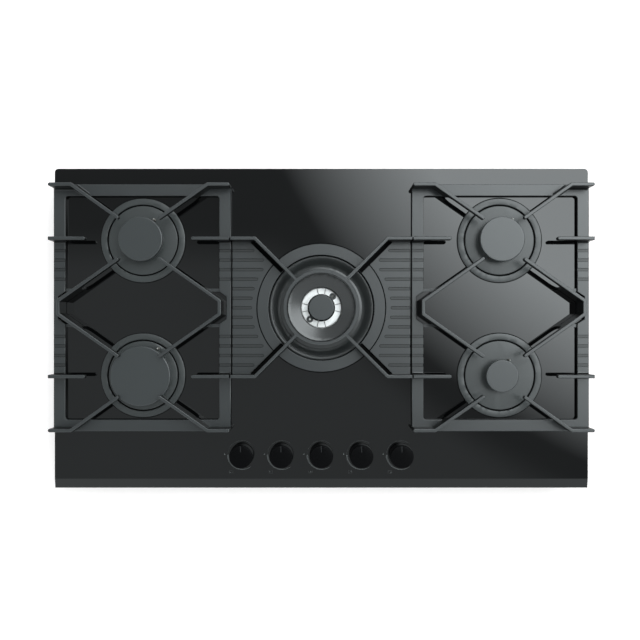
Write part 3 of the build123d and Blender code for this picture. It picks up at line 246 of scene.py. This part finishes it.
# each speckled finish: colour, spread of tone, scale, roughness, unevenness, depth of its grain in
# metres, and any other socket
speckledFinishes = {
    "ironEnamel": ((0.019, 0.022, 0.023), 0.5, 900, 0.29, 0.06, 0.00004, {"ior": 1.68}),
    # the groove-floor finish is darker than the enamel's top faces: painted shade in the grooves
    "ironGroove": ((0.012, 0.014, 0.014), 0.5, 900, 0.34, 0.06, 0.00004, {"ior": 1.6}),
    # the near-black finish for the supports' upright sides and web-foot fillets is painted shade
    "ironSide": ((0.004, 0.0045, 0.0045), 0.5, 900, 0.34, 0.06, 0.00004, {"specular": 0.2}),
    "capEnamel": ((0.024, 0.028, 0.029), 0.35, 1400, 0.29, 0.05, 0.00002, {"ior": 1.67}),
    "cupEnamel": ((0.028, 0.032, 0.032), 0.35, 1400, 0.32, 0.05, 0.00002, {"ior": 1.6}),
    # the near-black finish for grooves, channels, recesses and side walls is painted shade
    "deepGroove": ((0.002, 0.002, 0.002), 0.3, 1400, 0.6, 0.05, 0.00002, {"specular": 0.05}),
    "dishEnamel": ((0.018, 0.020, 0.020), 0.35, 1400, 0.32, 0.04, 0.00002, {"ior": 1.6}),
    "ringEnamel": ((0.005, 0.006, 0.006), 0.35, 1400, 0.27, 0.04, 0.00002, {"ior": 1.72}),
    "castAlloy": ((0.55, 0.55, 0.54), 0.3, 1100, 0.42, 0.1, 0.00006, {"metallic": 1.0}),
    "brightAlloy": ((0.93, 0.93, 0.92), 0.08, 1500, 0.45, 0.08, 0.00002, {"metallic": 0.2}),
    "alumina": ((0.30, 0.28, 0.25), 0.15, 2500, 0.35, 0.05, 0.00001, {}),
    "sealFoam": ((0.02, 0.02, 0.021), 0.6, 1800, 0.9, 0.05, 0.0002, {"specular": 0.2}),
    "padRubber": ((0.018, 0.018, 0.019), 0.3, 2000, 0.7, 0.05, 0.00003, {"specular": 0.3}),
    # the near-black gasket finish partly stands for the shade at each cup's edge
    "gasketRubber": ((0.004, 0.004, 0.004), 0.3, 2000, 0.7, 0.05, 0.00002, {"specular": 0.1}),
    "knobPlastic": ((0.0018, 0.0018, 0.0021), 0.4, 3500, 0.33, 0.04, 0.000006, {"specular": 0.06}),
    "pointerPaint": ((0.018, 0.019, 0.020), 0.3, 3000, 0.5, 0.05, 0.000004, {"specular": 0.2}),
    "palePlastic": ((0.72, 0.71, 0.66), 0.05, 1500, 0.45, 0.05, 0.00002, {}),
    "blackPlastic": ((0.02, 0.02, 0.021), 0.2, 1500, 0.5, 0.05, 0.00003, {}),
    "whiteSilicone": ((0.74, 0.74, 0.71), 0.05, 1800, 0.55, 0.05, 0.00001, {}),
    "printInk": ((0.085, 0.09, 0.09), 0.2, 2500, 0.45, 0.05, 0.000002, {}),
    "faintInk": ((0.022, 0.024, 0.024), 0.2, 2500, 0.45, 0.05, 0.000002, {}),
}
# each brushed metal: colour, spread of tone, fineness, roughness and depth of its lines in metres
brushedFinishes = {
    "turnedBrass": ((0.78, 0.58, 0.27), 0.2, 1500, 0.28, 0.00001),
    "copperTube": ((0.80, 0.45, 0.30), 0.15, 900, 0.3, 0.00001),
    "drawnTube": ((0.70, 0.70, 0.69), 0.15, 900, 0.35, 0.00001),
    "steelScrew": ((0.62, 0.61, 0.58), 0.2, 2000, 0.3, 0.00001),
    "threadedTube": ((0.68, 0.67, 0.63), 0.15, 900, 0.32, 0.00001),
}
finishes = {}
for name, (*shared, values) in speckledFinishes.items():
    finishes[name] = speckled(name, *shared, **values)
for name, values in brushedFinishes.items():
    finishes[name] = brushed(name, *values, metallic=1.0)

# polished black glass: nearly all of its look is what it mirrors
glassLook = {
    "colour": (0.0015, 0.0016, 0.0017, 1), "ior": 1.6, "hazeScale": 9.0, "hazeDetail": 4.0,
    "haze": (0.35, 0.75), "roughness": (0.015, 0.05),
}


def makeGlass():
    material, tree, shader = newMaterial("blackGlass", colour=glassLook["colour"], ior=glassLook["ior"])
    haze = addNode(tree, "ShaderNodeTexNoise", (-650, 0),
                   Scale=glassLook["hazeScale"], Detail=glassLook["hazeDetail"])
    tree.links.new(objectPoint(tree, (-900, 0)), haze.inputs["Vector"])
    film = rangeNode(tree, haze.outputs["Fac"], (-400, 0), glassLook["haze"], glassLook["roughness"])
    tree.links.new(film, shader.inputs["Roughness"])
    return material


# zinc-coated sheet: pale crystals of a few millimetres
zincLook = {
    "crystalScale": 140.0, "bendScale": 60.0, "bendDetail": 2.0, "bend": (0.006, 0.006, 0.006),
    "dull": (0.50, 0.52, 0.54, 1), "bright": (0.70, 0.71, 0.72, 1), "roughness": (0.34, 0.52),
}


def makeGalvanised():
    material, tree, shader = newMaterial("galvanised", metallic=1.0)
    point = objectPoint(tree, (-1100, 0))
    warp = addNode(tree, "ShaderNodeTexNoise", (-900, -150),
                   Scale=zincLook["bendScale"], Detail=zincLook["bendDetail"])
    tree.links.new(point, warp.inputs["Vector"])
    bent = addNode(tree, "ShaderNodeVectorMath", (-720, 0))
    bent.operation = "MULTIPLY_ADD"
    tree.links.new(warp.outputs["Color"], bent.inputs[0])
    bent.inputs[1].default_value = zincLook["bend"]
    tree.links.new(point, bent.inputs[2])
    crystals = addNode(tree, "ShaderNodeTexVoronoi", (-520, 0), Scale=zincLook["crystalScale"])
    tree.links.new(bent.outputs[0], crystals.inputs["Vector"])
    split = addNode(tree, "ShaderNodeSeparateColor", (-330, 0))
    tree.links.new(crystals.outputs["Color"], split.inputs[0])
    tone = addNode(tree, "ShaderNodeMix", (-150, 120))
    tone.data_type = "RGBA"
    tone.inputs["A"].default_value = zincLook["dull"]
    tone.inputs["B"].default_value = zincLook["bright"]
    tree.links.new(split.outputs[0], tone.inputs["Factor"])
    tree.links.new(tone.outputs["Result"], shader.inputs["Base Color"])
    gloss = rangeNode(tree, split.outputs[1], (-150, -120), (0, 1), zincLook["roughness"])
    tree.links.new(gloss, shader.inputs["Roughness"])
    return material


# the ridges of a cut thread across a tube that runs along Y
threadLook = {
    "pitch": 0.00181, "depth": 0.0008,
    "bandAtScaleOne": math.pi / 10,  # distance between two bands of the wave texture
}


def cutThread(material):
    tree = material.node_tree
    ridges = addNode(tree, "ShaderNodeTexWave", (-900, -450),
                     Scale=threadLook["bandAtScaleOne"] / threadLook["pitch"])
    ridges.bands_direction = "Y"
    tree.links.new(objectPoint(tree, (-1100, -450)), ridges.inputs["Vector"])
    relief = addNode(tree, "ShaderNodeBump", (-500, -450), Strength=1.0, Distance=threadLook["depth"])
    tree.links.new(ridges.outputs["Fac"], relief.inputs["Height"])
    tree.links.new(relief.outputs["Normal"], tree.nodes["Bump"].inputs["Normal"])


cutThread(finishes["threadedTube"])
finishes["blackGlass"] = makeGlass()
finishes["galvanised"] = makeGalvanised()

finishOf = {
    "glass_top": "blackGlass", "perimeter_seal": "sealFoam", "bottom_box": "galvanised",
    "burner_rails": "galvanised", "frame_screws": "steelScrew", "worktop_clamps": "galvanised",
    "clamp_screws": "steelScrew", "gas_manifold": "drawnTube", "feed_pipes": "drawnTube",
    "gas_taps": "castAlloy", "injectors": "turnedBrass", "thermocouples": "copperTube",
    "spark_electrodes": "alumina", "ignition_leads": "whiteSilicone", "ignition_switches": "palePlastic",
    "ignition_module": "palePlastic", "mains_inlet": "blackPlastic", "wok_dish": "dishEnamel",
    "burner_base_wok": "castAlloy", "flame_spreader_wok_outer": "dishEnamel",
    "flame_spreader_wok_inner": "brightAlloy", "burner_cap_wok_outer": "ringEnamel",
    "burner_cap_wok_inner": "capEnamel",
}
for name in burnerNames:
    finishOf[f"burner_base_{name}"] = "castAlloy"
    finishOf[f"burner_cup_{name}"] = "cupEnamel"
    finishOf[f"flame_spreader_{name}"] = "castAlloy"
    finishOf[f"burner_cap_{name}"] = "capEnamel"
for name in sideNames:
    finishOf[f"pan_support_{name}"] = "ironEnamel"
    finishOf[f"support_pads_{name}"] = "padRubber"
for number in knobNumbers:
    finishOf[f"tap_plug_{number}"] = "turnedBrass"
    finishOf[f"spindle_{number}"] = "turnedBrass"
    finishOf[f"knob_{number}"] = "knobPlastic"

for name, finish in finishOf.items():
    nodes[name].data.materials.clear()
    nodes[name].data.materials.append(finishes[finish])
print("finishes set")


# working on one object, as by hand
def pick(piece):
    bpy.ops.object.select_all(action="DESELECT")
    piece.select_set(True)
    bpy.context.view_layer.objects.active = piece


def editAll(piece):
    pick(piece)
    bpy.ops.object.mode_set(mode="EDIT")
    bpy.ops.mesh.select_all(action="SELECT")


def leaveEdit():
    bpy.ops.object.mode_set(mode="OBJECT")


def editChosen(piece, parts, test):
    # edit mode with only the vertices or faces selected that pass the test
    pick(piece)
    bpy.ops.object.mode_set(mode="EDIT")
    bpy.ops.mesh.select_all(action="DESELECT")
    leaveEdit()
    for part in parts:
        part.select = test(part)
    bpy.ops.object.mode_set(mode="EDIT")


def finishWith(piece, kind, **settings):
    # adds one modifier and applies it
    pick(piece)
    bpy.ops.object.modifier_add(type=kind)
    for label, value in settings.items():
        setattr(piece.modifiers[-1], label, value)
    bpy.ops.object.modifier_apply(modifier=piece.modifiers[-1].name)


def settle(piece, name, body, finish):
    # place into the mesh, then name, material and body
    pick(piece)
    bpy.ops.object.transform_apply(location=True, rotation=True, scale=True)
    piece.name = name
    piece.data.materials.clear()
    piece.data.materials.append(finishes[finish])
    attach(piece, body)
    return piece


def copyTo(piece, name, shift, body, finish):
    pick(piece)
    bpy.ops.object.duplicate()
    bpy.ops.transform.translate(value=shift)
    return settle(bpy.context.active_object, name, body, finish)


# merged versions of the pieces that show
smoothing = {"mergeDistance": 0.000002, "angle": 32}  # metres and degrees


def lookOf(name, angle=smoothing["angle"]):
    # faces that meet at less than the angle are smooth; an angle of 0 leaves every face flat
    source = nodes[name]
    look = bpy.data.objects.new(name + "_look", source.data.copy())
    scene.collection.objects.link(look)
    editAll(look)
    bpy.ops.mesh.remove_doubles(threshold=smoothing["mergeDistance"])
    bpy.ops.mesh.normals_make_consistent(inside=False)
    leaveEdit()
    if angle:
        bpy.ops.object.shade_smooth_by_angle(angle=math.radians(angle))
        finishWith(look, "WEIGHTED_NORMAL", keep_sharp=True)
    else:
        bpy.ops.object.shade_flat()
    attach(look, source["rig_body"])
    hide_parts(name)
    return look


def paintFaces(look, finish, test):
    # gives a second finish to the faces that pass the test
    look.data.materials.append(finishes[finish])
    index = len(look.data.materials) - 1
    for face in look.data.polygons:
        if test(face.center, face.normal):
            face.material_index = index


# floors of the supports' grooves, which get painted shade: the height is over the glass
grooveFloor = {
    "height": 0.0078, "reach": 0.0002, "facingUp": 0.99, "outline": 0.0006,
    "arcInner": 0.100, "arcOuter": 0.107,  # the arc groove, as distances from the middle burner
}


def onGrooveFloor(centre, normal):
    over = centre.z - glassTop
    return normal.z > grooveFloor["facingUp"] and abs(over - grooveFloor["height"]) < grooveFloor["reach"]


def middleOf(name):
    low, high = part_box(name)
    return (low + high) / 2


wokMiddle = middleOf("burner_cap_wok_outer")


def fromWok(point):
    return math.hypot(point.x - wokMiddle.x, point.y - wokMiddle.y)


def inArcGroove(centre):
    # the groove that runs round the middle burner is painted near black all over, as shade
    return grooveFloor["arcInner"] < fromWok(centre) < grooveFloor["arcOuter"]


def insetFloors(look):
    # a near-black outline of painted shade round the floor of each groove, with a lighter painted shade
    # on the floor inside it
    editChosen(look, look.data.polygons, lambda face: (
        onGrooveFloor(face.center, face.normal) and not inArcGroove(face.center)))
    bpy.ops.mesh.inset(thickness=grooveFloor["outline"], use_boundary=True)
    look.data.materials.append(finishes["ironGroove"])
    look.active_material_index = len(look.data.materials) - 1
    bpy.ops.object.material_slot_assign()
    leaveEdit()


# a face is a side where the upward share of its normal is below these; sides are what get painted shade
steepest = {"support": 0.7, "foot": 0.97, "cup": 0.35}
webFoot = {"low": 0.0092, "high": 0.0130, "channel": 0.0042}  # heights over the glass


def isSide(centre, normal):
    # upright faces, and the hollow fillets at the feet of the webs, painted darker as shade
    over = centre.z - glassTop
    inFoot = webFoot["low"] < over < webFoot["high"] and normal.z < steepest["foot"]
    return inFoot or normal.z < steepest["support"]


def isDeep(centre, normal):
    # floors of the grooves, and of the channels beside the diagonal webs, painted near black as shade
    return onGrooveFloor(centre, normal) or centre.z < glassTop + webFoot["channel"]


for name in sideNames:
    look = lookOf(f"pan_support_{name}", angle=0)
    paintFaces(look, "ironSide", isSide)
    paintFaces(look, "deepGroove", isDeep)
    insetFloors(look)
    lookOf(f"support_pads_{name}")
cupGroove = 0.0014  # top of a cup's groove floor over the glass
for name in burnerNames:
    look = lookOf(f"burner_cup_{name}")
    # the cup's groove floor and side walls are painted near black as shade
    paintFaces(look, "deepGroove", lambda centre, normal: (
        centre.z - glassTop < cupGroove or normal.z < steepest["cup"]))
    lookOf(f"flame_spreader_{name}")
    lookOf(f"burner_cap_{name}")
for name in ("wok_dish", "flame_spreader_wok_outer", "mains_inlet", "clamp_screws", "frame_screws"):
    lookOf(name)
wokBore = 0.0345  # the wide ring's dark inner wall reaches this far from the middle
look = lookOf("burner_cap_wok_outer")
# the wide ring's inner wall is painted near black as shade
paintFaces(look, "deepGroove", lambda centre, normal: (
    fromWok(centre) < wokBore and normal.z < steepest["foot"]))
look = lookOf("burner_cap_wok_inner")
# the inner cap's side walls are painted near black as shade
paintFaces(look, "deepGroove", lambda centre, normal: normal.z < steepest["cup"])
brightFrom = 0.0092  # the bright ring is bright above this height over the glass
look = lookOf("flame_spreader_wok_inner", angle=0)
# below this height the bright ring's recess and crown are painted near black as shade
paintFaces(look, "deepGroove", lambda centre, normal: centre.z < glassTop + brightFrom)
for number in knobNumbers:
    lookOf(f"knob_{number}")

# the pins and sensing tips are metal above their ceramic or copper
probes = {"ceramicTop": 0.008, "sheathTop": 0.002}  # heights over the glass
look = lookOf("spark_electrodes")
paintFaces(look, "steelScrew", lambda centre, normal: centre.z > glassTop + probes["ceramicTop"])
look = lookOf("thermocouples")
paintFaces(look, "steelScrew", lambda centre, normal: centre.z > glassTop + probes["sheathTop"])
paintFaces(look, "brightAlloy", lambda centre, normal: (
    fromWok(centre) < wokBore and normal.z > steepest["support"]
    and centre.z > glassTop + probes["ceramicTop"]))

# the gas inlet has a thread behind its collar
threadStart = 0.2402  # along Y
look = lookOf("gas_manifold")
paintFaces(look, "threadedTube", lambda centre, normal: centre.y > threadStart)
print("merged versions made")


def flatRing(x, y, bottom, sizes):
    # a low ring with softened edges
    bpy.ops.object.select_all(action="DESELECT")
    bpy.ops.mesh.primitive_circle_add(
        vertices=sizes["segments"], radius=sizes["inner"], location=(x, y, bottom))
    ring = bpy.context.active_object
    editAll(ring)
    bpy.ops.mesh.extrude_edges_move()
    wider = 1 + sizes["width"] / sizes["inner"]
    bpy.ops.transform.resize(value=(wider, wider, 1))
    bpy.ops.mesh.select_all(action="SELECT")
    bpy.ops.mesh.extrude_region_move(TRANSFORM_OT_translate={"value": (0, 0, sizes["height"])})
    bpy.ops.mesh.select_all(action="SELECT")
    bpy.ops.mesh.normals_make_consistent(inside=False)
    leaveEdit()
    finishWith(ring, "BEVEL", width=sizes["edge"], segments=2)
    bpy.ops.object.shade_smooth_by_angle(angle=math.radians(smoothing["angle"]))
    return ring


# collars round the wok burner's two probes, on the bright ring
collar = {"inner": 0.0022, "width": 0.0032, "height": 0.0015, "edge": 0.0004, "segments": 40,
          "reach": 0.0258, "level": 0.0100, "angles": {"sensor": 225, "spark": 45}}
for name, angle in collar["angles"].items():
    along = math.radians(angle)
    x = wokMiddle.x + collar["reach"] * math.cos(along)
    y = wokMiddle.y + collar["reach"] * math.sin(along)
    settle(flatRing(x, y, glassTop + collar["level"], collar), f"wok_{name}_collar", "spreader_wok_inner",
           "cupEnamel")
print("collars made")

# gasket that seals each burner cup to the glass: a real seal, made near black and wide so that it also
# stands in for the shade at the cup's edge, seen as a dark line round the cup
gasket = {"inner": 0.06765, "width": 0.0012, "height": 0.0008, "edge": 0.0003, "segments": 96}
first = burnerNames[0]
cupMiddle = {name: middleOf(f"burner_cup_{name}") for name in burnerNames}
seal = flatRing(cupMiddle[first].x, cupMiddle[first].y, glassTop, gasket)
for name in burnerNames[1:]:
    copyTo(seal, f"cup_shade_gasket_{name}", cupMiddle[name] - cupMiddle[first], "cooktop",
           "gasketRubber")
settle(seal, f"cup_shade_gasket_{first}", "cooktop", "gasketRubber")
print("gaskets made")

# marks printed on the glass round each knob, as sheets of ink let into its top; angles in degrees
marks = {
    "outer": 0.0240, "thickest": 0.0027, "thinnest": 0.0002, "start": 178, "end": 306,
    "ringOuter": 0.0232, "ringWidth": 0.0004, "ringNarrow": 0.00036, "ringStart": 50, "ringEnd": 176,
    "ringThinAfter": 180,
    "above": 0.00004, "below": 0.00008, "segments": 180,
    "flameX": -0.0280, "flameY": 0.0010, "flameRadius": 0.0010, "flameTip": 0.0014,
    "plotX": -0.0175, "plotY": -0.0275, "plotWidth": 0.0060, "plotDepth": 0.0042, "plotLine": 0.0004,
    "dotRadius": 0.0007, "dotX": 0.0017, "dotY": 0.0010, "dotSegments": 20,
}
modelKnob = 3  # what is alike at every knob is made at this one and copied
# where the burner of each knob stands on the little plan beside it: across, and up
plotDots = {1: (-1, -1), 2: (-1, 1), 3: (0, 0), 4: (1, 1), 5: (1, -1)}


def knobCentre(number):
    return middleOf(f"tap_plug_{number}")


def inkSheet():
    # turns the flat faces in edit mode into a thin closed sheet through the glass top
    bpy.ops.mesh.select_all(action="SELECT")
    bpy.ops.transform.translate(value=(0, 0, -marks["below"]))
    bpy.ops.mesh.extrude_region_move(
        TRANSFORM_OT_translate={"value": (0, 0, marks["below"] + marks["above"])})
    bpy.ops.mesh.select_all(action="SELECT")
    bpy.ops.mesh.normals_make_consistent(inside=False)
    leaveEdit()


def angleOf(point):
    return math.degrees(math.atan2(point.y, point.x)) % 360


def arcSheet(centre, outer, widest, narrowest, start, end, thinAngle):
    # a band between two arcs, widest at its start and narrowest at thinAngle from there
    bpy.ops.object.select_all(action="DESELECT")
    bpy.ops.mesh.primitive_circle_add(vertices=marks["segments"], radius=outer,
                                      location=(centre.x, centre.y, glassTop))
    arc = bpy.context.active_object
    editChosen(arc, arc.data.vertices, lambda vertex: not start <= angleOf(vertex.co) <= end)
    bpy.ops.mesh.delete(type="VERT")
    bpy.ops.mesh.select_all(action="SELECT")
    bpy.ops.mesh.extrude_edges_move()
    # the inner arc is off centre, so the width at an angle is mean + swing * cos(angle - start)
    swing = (widest - narrowest) / (1 - math.cos(math.radians(thinAngle)))
    mean = widest - swing
    scale = 1 - mean / outer
    along = math.radians(start)
    middle = (centre.x - swing * math.cos(along) / (1 - scale),
              centre.y - swing * math.sin(along) / (1 - scale), glassTop)
    bpy.ops.transform.resize(value=(scale, scale, 1), center_override=middle)
    inkSheet()
    return arc


def discAt(centre, across, up, radius):
    # a flat disc at the top of the glass, beside a knob
    bpy.ops.object.select_all(action="DESELECT")
    bpy.ops.mesh.primitive_circle_add(
        vertices=marks["dotSegments"], radius=radius, fill_type="NGON",
        location=(centre.x + across, centre.y + up, glassTop))
    return bpy.context.active_object


modelCentre = knobCentre(modelKnob)
arc = arcSheet(modelCentre, marks["outer"], marks["thickest"], marks["thinnest"],
               marks["start"], marks["end"], marks["end"] - marks["start"])
ring = arcSheet(modelCentre, marks["ringOuter"], marks["ringWidth"], marks["ringNarrow"],
                marks["ringStart"], marks["ringEnd"], marks["ringThinAfter"])
flame = discAt(modelCentre, marks["flameX"], marks["flameY"], marks["flameRadius"])
flame.data.vertices[0].co.y += marks["flameTip"]
bpy.ops.object.mode_set(mode="EDIT")
inkSheet()
bpy.ops.object.select_all(action="DESELECT")
bpy.ops.mesh.primitive_plane_add(
    size=1, location=(modelCentre.x + marks["plotX"], modelCentre.y + marks["plotY"], glassTop))
plot = bpy.context.active_object
bpy.ops.transform.resize(value=(marks["plotWidth"], marks["plotDepth"], 1))
bpy.ops.object.transform_apply(location=False, rotation=False, scale=True)
editAll(plot)
bpy.ops.mesh.inset(thickness=marks["plotLine"])
bpy.ops.mesh.delete(type="FACE")
inkSheet()
plotDot = {}
for number in knobNumbers:
    across, up = plotDots[number]
    plotDot[number] = discAt(knobCentre(number), marks["plotX"] + across * marks["dotX"],
                             marks["plotY"] + up * marks["dotY"], marks["dotRadius"])
    bpy.ops.object.mode_set(mode="EDIT")
    inkSheet()

dialMarks = ((arc, "dial_arc", "printInk"), (ring, "dial_ring", "faintInk"),
             (flame, "flame_mark", "printInk"), (plot, "burner_plan", "faintInk"))
for number in knobNumbers:
    for piece, name, finish in dialMarks:
        if number != modelKnob:
            copyTo(piece, f"{name}_{number}", knobCentre(number) - modelCentre, "cooktop",
                   finish)
    settle(plotDot[number], f"burner_dot_{number}", "cooktop", "printInk")
for piece, name, finish in dialMarks:
    settle(piece, f"{name}_{modelKnob}", "cooktop", finish)
print("printed marks made")

# painted pointers in the knobs' slots
pointer = {"length": 0.0098, "width": 0.0010, "fromRim": 0.0014, "radius": 0.0185, "slotDepth": 0.0006,
           "belowTop": 0.00015, "segments": 24}
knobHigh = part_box(f"knob_{modelKnob}")[1].z
stripeY = modelCentre.y + pointer["radius"] - pointer["fromRim"] - pointer["width"] / 2
bpy.ops.object.select_all(action="DESELECT")
bpy.ops.mesh.primitive_circle_add(
    vertices=pointer["segments"], radius=pointer["width"] / 2, fill_type="NGON",
    location=(modelCentre.x, stripeY, knobHigh - pointer["slotDepth"]))
stripe = bpy.context.active_object
for vertex in stripe.data.vertices:
    if vertex.co.y < 0:
        vertex.co.y -= pointer["length"] - pointer["width"]
editAll(stripe)
bpy.ops.mesh.extrude_region_move(
    TRANSFORM_OT_translate={"value": (0, 0, pointer["slotDepth"] - pointer["belowTop"])})
bpy.ops.mesh.select_all(action="SELECT")
bpy.ops.mesh.normals_make_consistent(inside=False)
leaveEdit()
for number in knobNumbers:
    if number != modelKnob:
        copyTo(stripe, f"pointer_{number}", knobCentre(number) - modelCentre, f"knob_{number}",
               "pointerPaint")
settle(stripe, f"pointer_{modelKnob}", f"knob_{modelKnob}", "pointerPaint")
print("pointers made")

# camera: straight above the middle of the glass, at a distance from its top
viewpoint = {"lens": 50.0, "distance": 1.434, "shiftX": -0.0021, "shiftY": 0.0131}
cameraData = bpy.data.cameras.new("overhead")
cameraData.lens = viewpoint["lens"]
cameraData.shift_x = viewpoint["shiftX"]
cameraData.shift_y = viewpoint["shiftY"]
overhead = bpy.data.objects.new("overhead", cameraData)
overhead.location = (0, 0, glassTop + viewpoint["distance"])
scene.collection.objects.link(overhead)
scene.camera = overhead

# light: a wide soft panel high at the rear right, a dim ceiling, a pale front and a paler horizon
studio = {
    "panelX": 0.599, "panelY": 0.5055,  # direction of the panel's middle, as slopes from the upright
    "panelInner": 0.577, "panelOuter": 0.722,  # the panel is full up to the first and gone at the second
    "panelLevel": 4.05, "panelFoot": 0.1,  # below this height the panel fades out
    "ceiling": 0.225, "front": 0.435, "frontSlope": 0.088, "frontBlur": 0.03,
    "frontNear": 0.737, "frontFar": 0.787,  # the front light starts this far from the panel's middle
    "horizon": 0.95, "horizonFrom": 0.95, "horizonFull": 0.75,  # heights where it starts and is full
    "lowest": 0.02,  # keeps the slopes finite at the horizon
    "tint": (0.935, 1.0, 1.02),
}


def makeWorld():
    world = bpy.data.worlds.new("studio")
    scene.world = world
    world.use_nodes = True
    tree = world.node_tree
    tree.nodes.clear()

    # each direction as two slopes from the upright, and how far it is from the panel's middle
    coordinates = tree.nodes.new("ShaderNodeTexCoord")
    split = tree.nodes.new("ShaderNodeSeparateXYZ")
    tree.links.new(coordinates.outputs["Generated"], split.inputs[0])
    x, y, z = split.outputs
    height = mathNode(tree, "MAXIMUM", (-1400, 0), z, studio["lowest"])
    slopeX = mathNode(tree, "DIVIDE", (-1300, 200), x, height)
    slopeY = mathNode(tree, "DIVIDE", (-1300, 0), y, height)
    acrossX = mathNode(tree, "SUBTRACT", (-1200, 200), slopeX, studio["panelX"])
    acrossY = mathNode(tree, "SUBTRACT", (-1200, 0), slopeY, studio["panelY"])
    squareX = mathNode(tree, "MULTIPLY", (-1100, 200), acrossX, acrossX)
    squareY = mathNode(tree, "MULTIPLY", (-1100, 0), acrossY, acrossY)
    squares = mathNode(tree, "ADD", (-1000, 100), squareX, squareY)
    distance = mathNode(tree, "SQRT", (-900, 100), squares)

    # the four lights, added up
    soft = rangeNode(tree, distance, (-700, 100), (studio["panelOuter"], studio["panelInner"]),
                     (0.0, studio["panelLevel"]))
    above = rangeNode(tree, z, (-900, -200), (0.0, studio["panelFoot"]), (0.0, 1.0), smooth=True)
    panel = mathNode(tree, "MULTIPLY", (-500, 100), soft, above)
    blur = (studio["frontSlope"] + studio["frontBlur"], studio["frontSlope"] - studio["frontBlur"])
    band = rangeNode(tree, slopeY, (-900, -400), blur, (0.0, studio["front"] - studio["ceiling"]),
                     smooth=True)
    beyond = rangeNode(tree, distance, (-900, -600), (studio["frontNear"], studio["frontFar"]),
                       (0.0, 1.0), smooth=True)
    front = mathNode(tree, "MULTIPLY_ADD", (-700, -400), band, beyond, studio["ceiling"])
    low = rangeNode(tree, z, (-700, -600), (studio["horizonFrom"], studio["horizonFull"]),
                    (0.0, studio["horizon"] - studio["front"]), smooth=True)
    total = mathNode(tree, "ADD", (-300, 0), mathNode(tree, "ADD", (-400, -200), front, low), panel)

    # the camera itself sees plain white
    path = tree.nodes.new("ShaderNodeLightPath")
    level = tree.nodes.new("ShaderNodeMix")
    tree.links.new(path.outputs["Is Camera Ray"], level.inputs["Factor"])
    tree.links.new(total, level.inputs["A"])
    level.inputs["B"].default_value = 1.0
    tint = tree.nodes.new("ShaderNodeMix")
    tint.data_type = "RGBA"
    tree.links.new(path.outputs["Is Camera Ray"], tint.inputs["Factor"])
    tint.inputs["A"].default_value = (*studio["tint"], 1)
    tint.inputs["B"].default_value = (1, 1, 1, 1)
    background = tree.nodes.new("ShaderNodeBackground")
    tree.links.new(tint.outputs["Result"], background.inputs["Color"])
    tree.links.new(level.outputs["Result"], background.inputs["Strength"])
    output = tree.nodes.new("ShaderNodeOutputWorld")
    tree.links.new(background.outputs[0], output.inputs["Surface"])


makeWorld()

# floor
floorLook = {
    "size": 12.0, "gap": 0.0002, "colour": (0.855, 0.80, 0.785), "roughness": 0.9, "specular": 0.0,
    "lift": 0.30,  # what the camera sees on top of the light that falls on it
}
bpy.ops.object.select_all(action="DESELECT")
bpy.ops.mesh.primitive_plane_add(size=floorLook["size"], location=(0, 0, cadLow.z - floorLook["gap"]))
floor = bpy.context.active_object
floor.name = "floor"


def makeFloor():
    material, tree, shader = newMaterial("paleFloor", colour=(*floorLook["colour"], 1),
                                         roughness=floorLook["roughness"], specular=floorLook["specular"])
    shader.inputs["Emission Color"].default_value = (1, 1, 1, 1)
    path = tree.nodes.new("ShaderNodeLightPath")
    lift = mathNode(tree, "MULTIPLY", (-300, -300), path.outputs["Is Camera Ray"], floorLook["lift"])
    tree.links.new(lift, shader.inputs["Emission Strength"])
    return material


floor.data.materials.append(makeFloor())
print("camera, light and floor set")
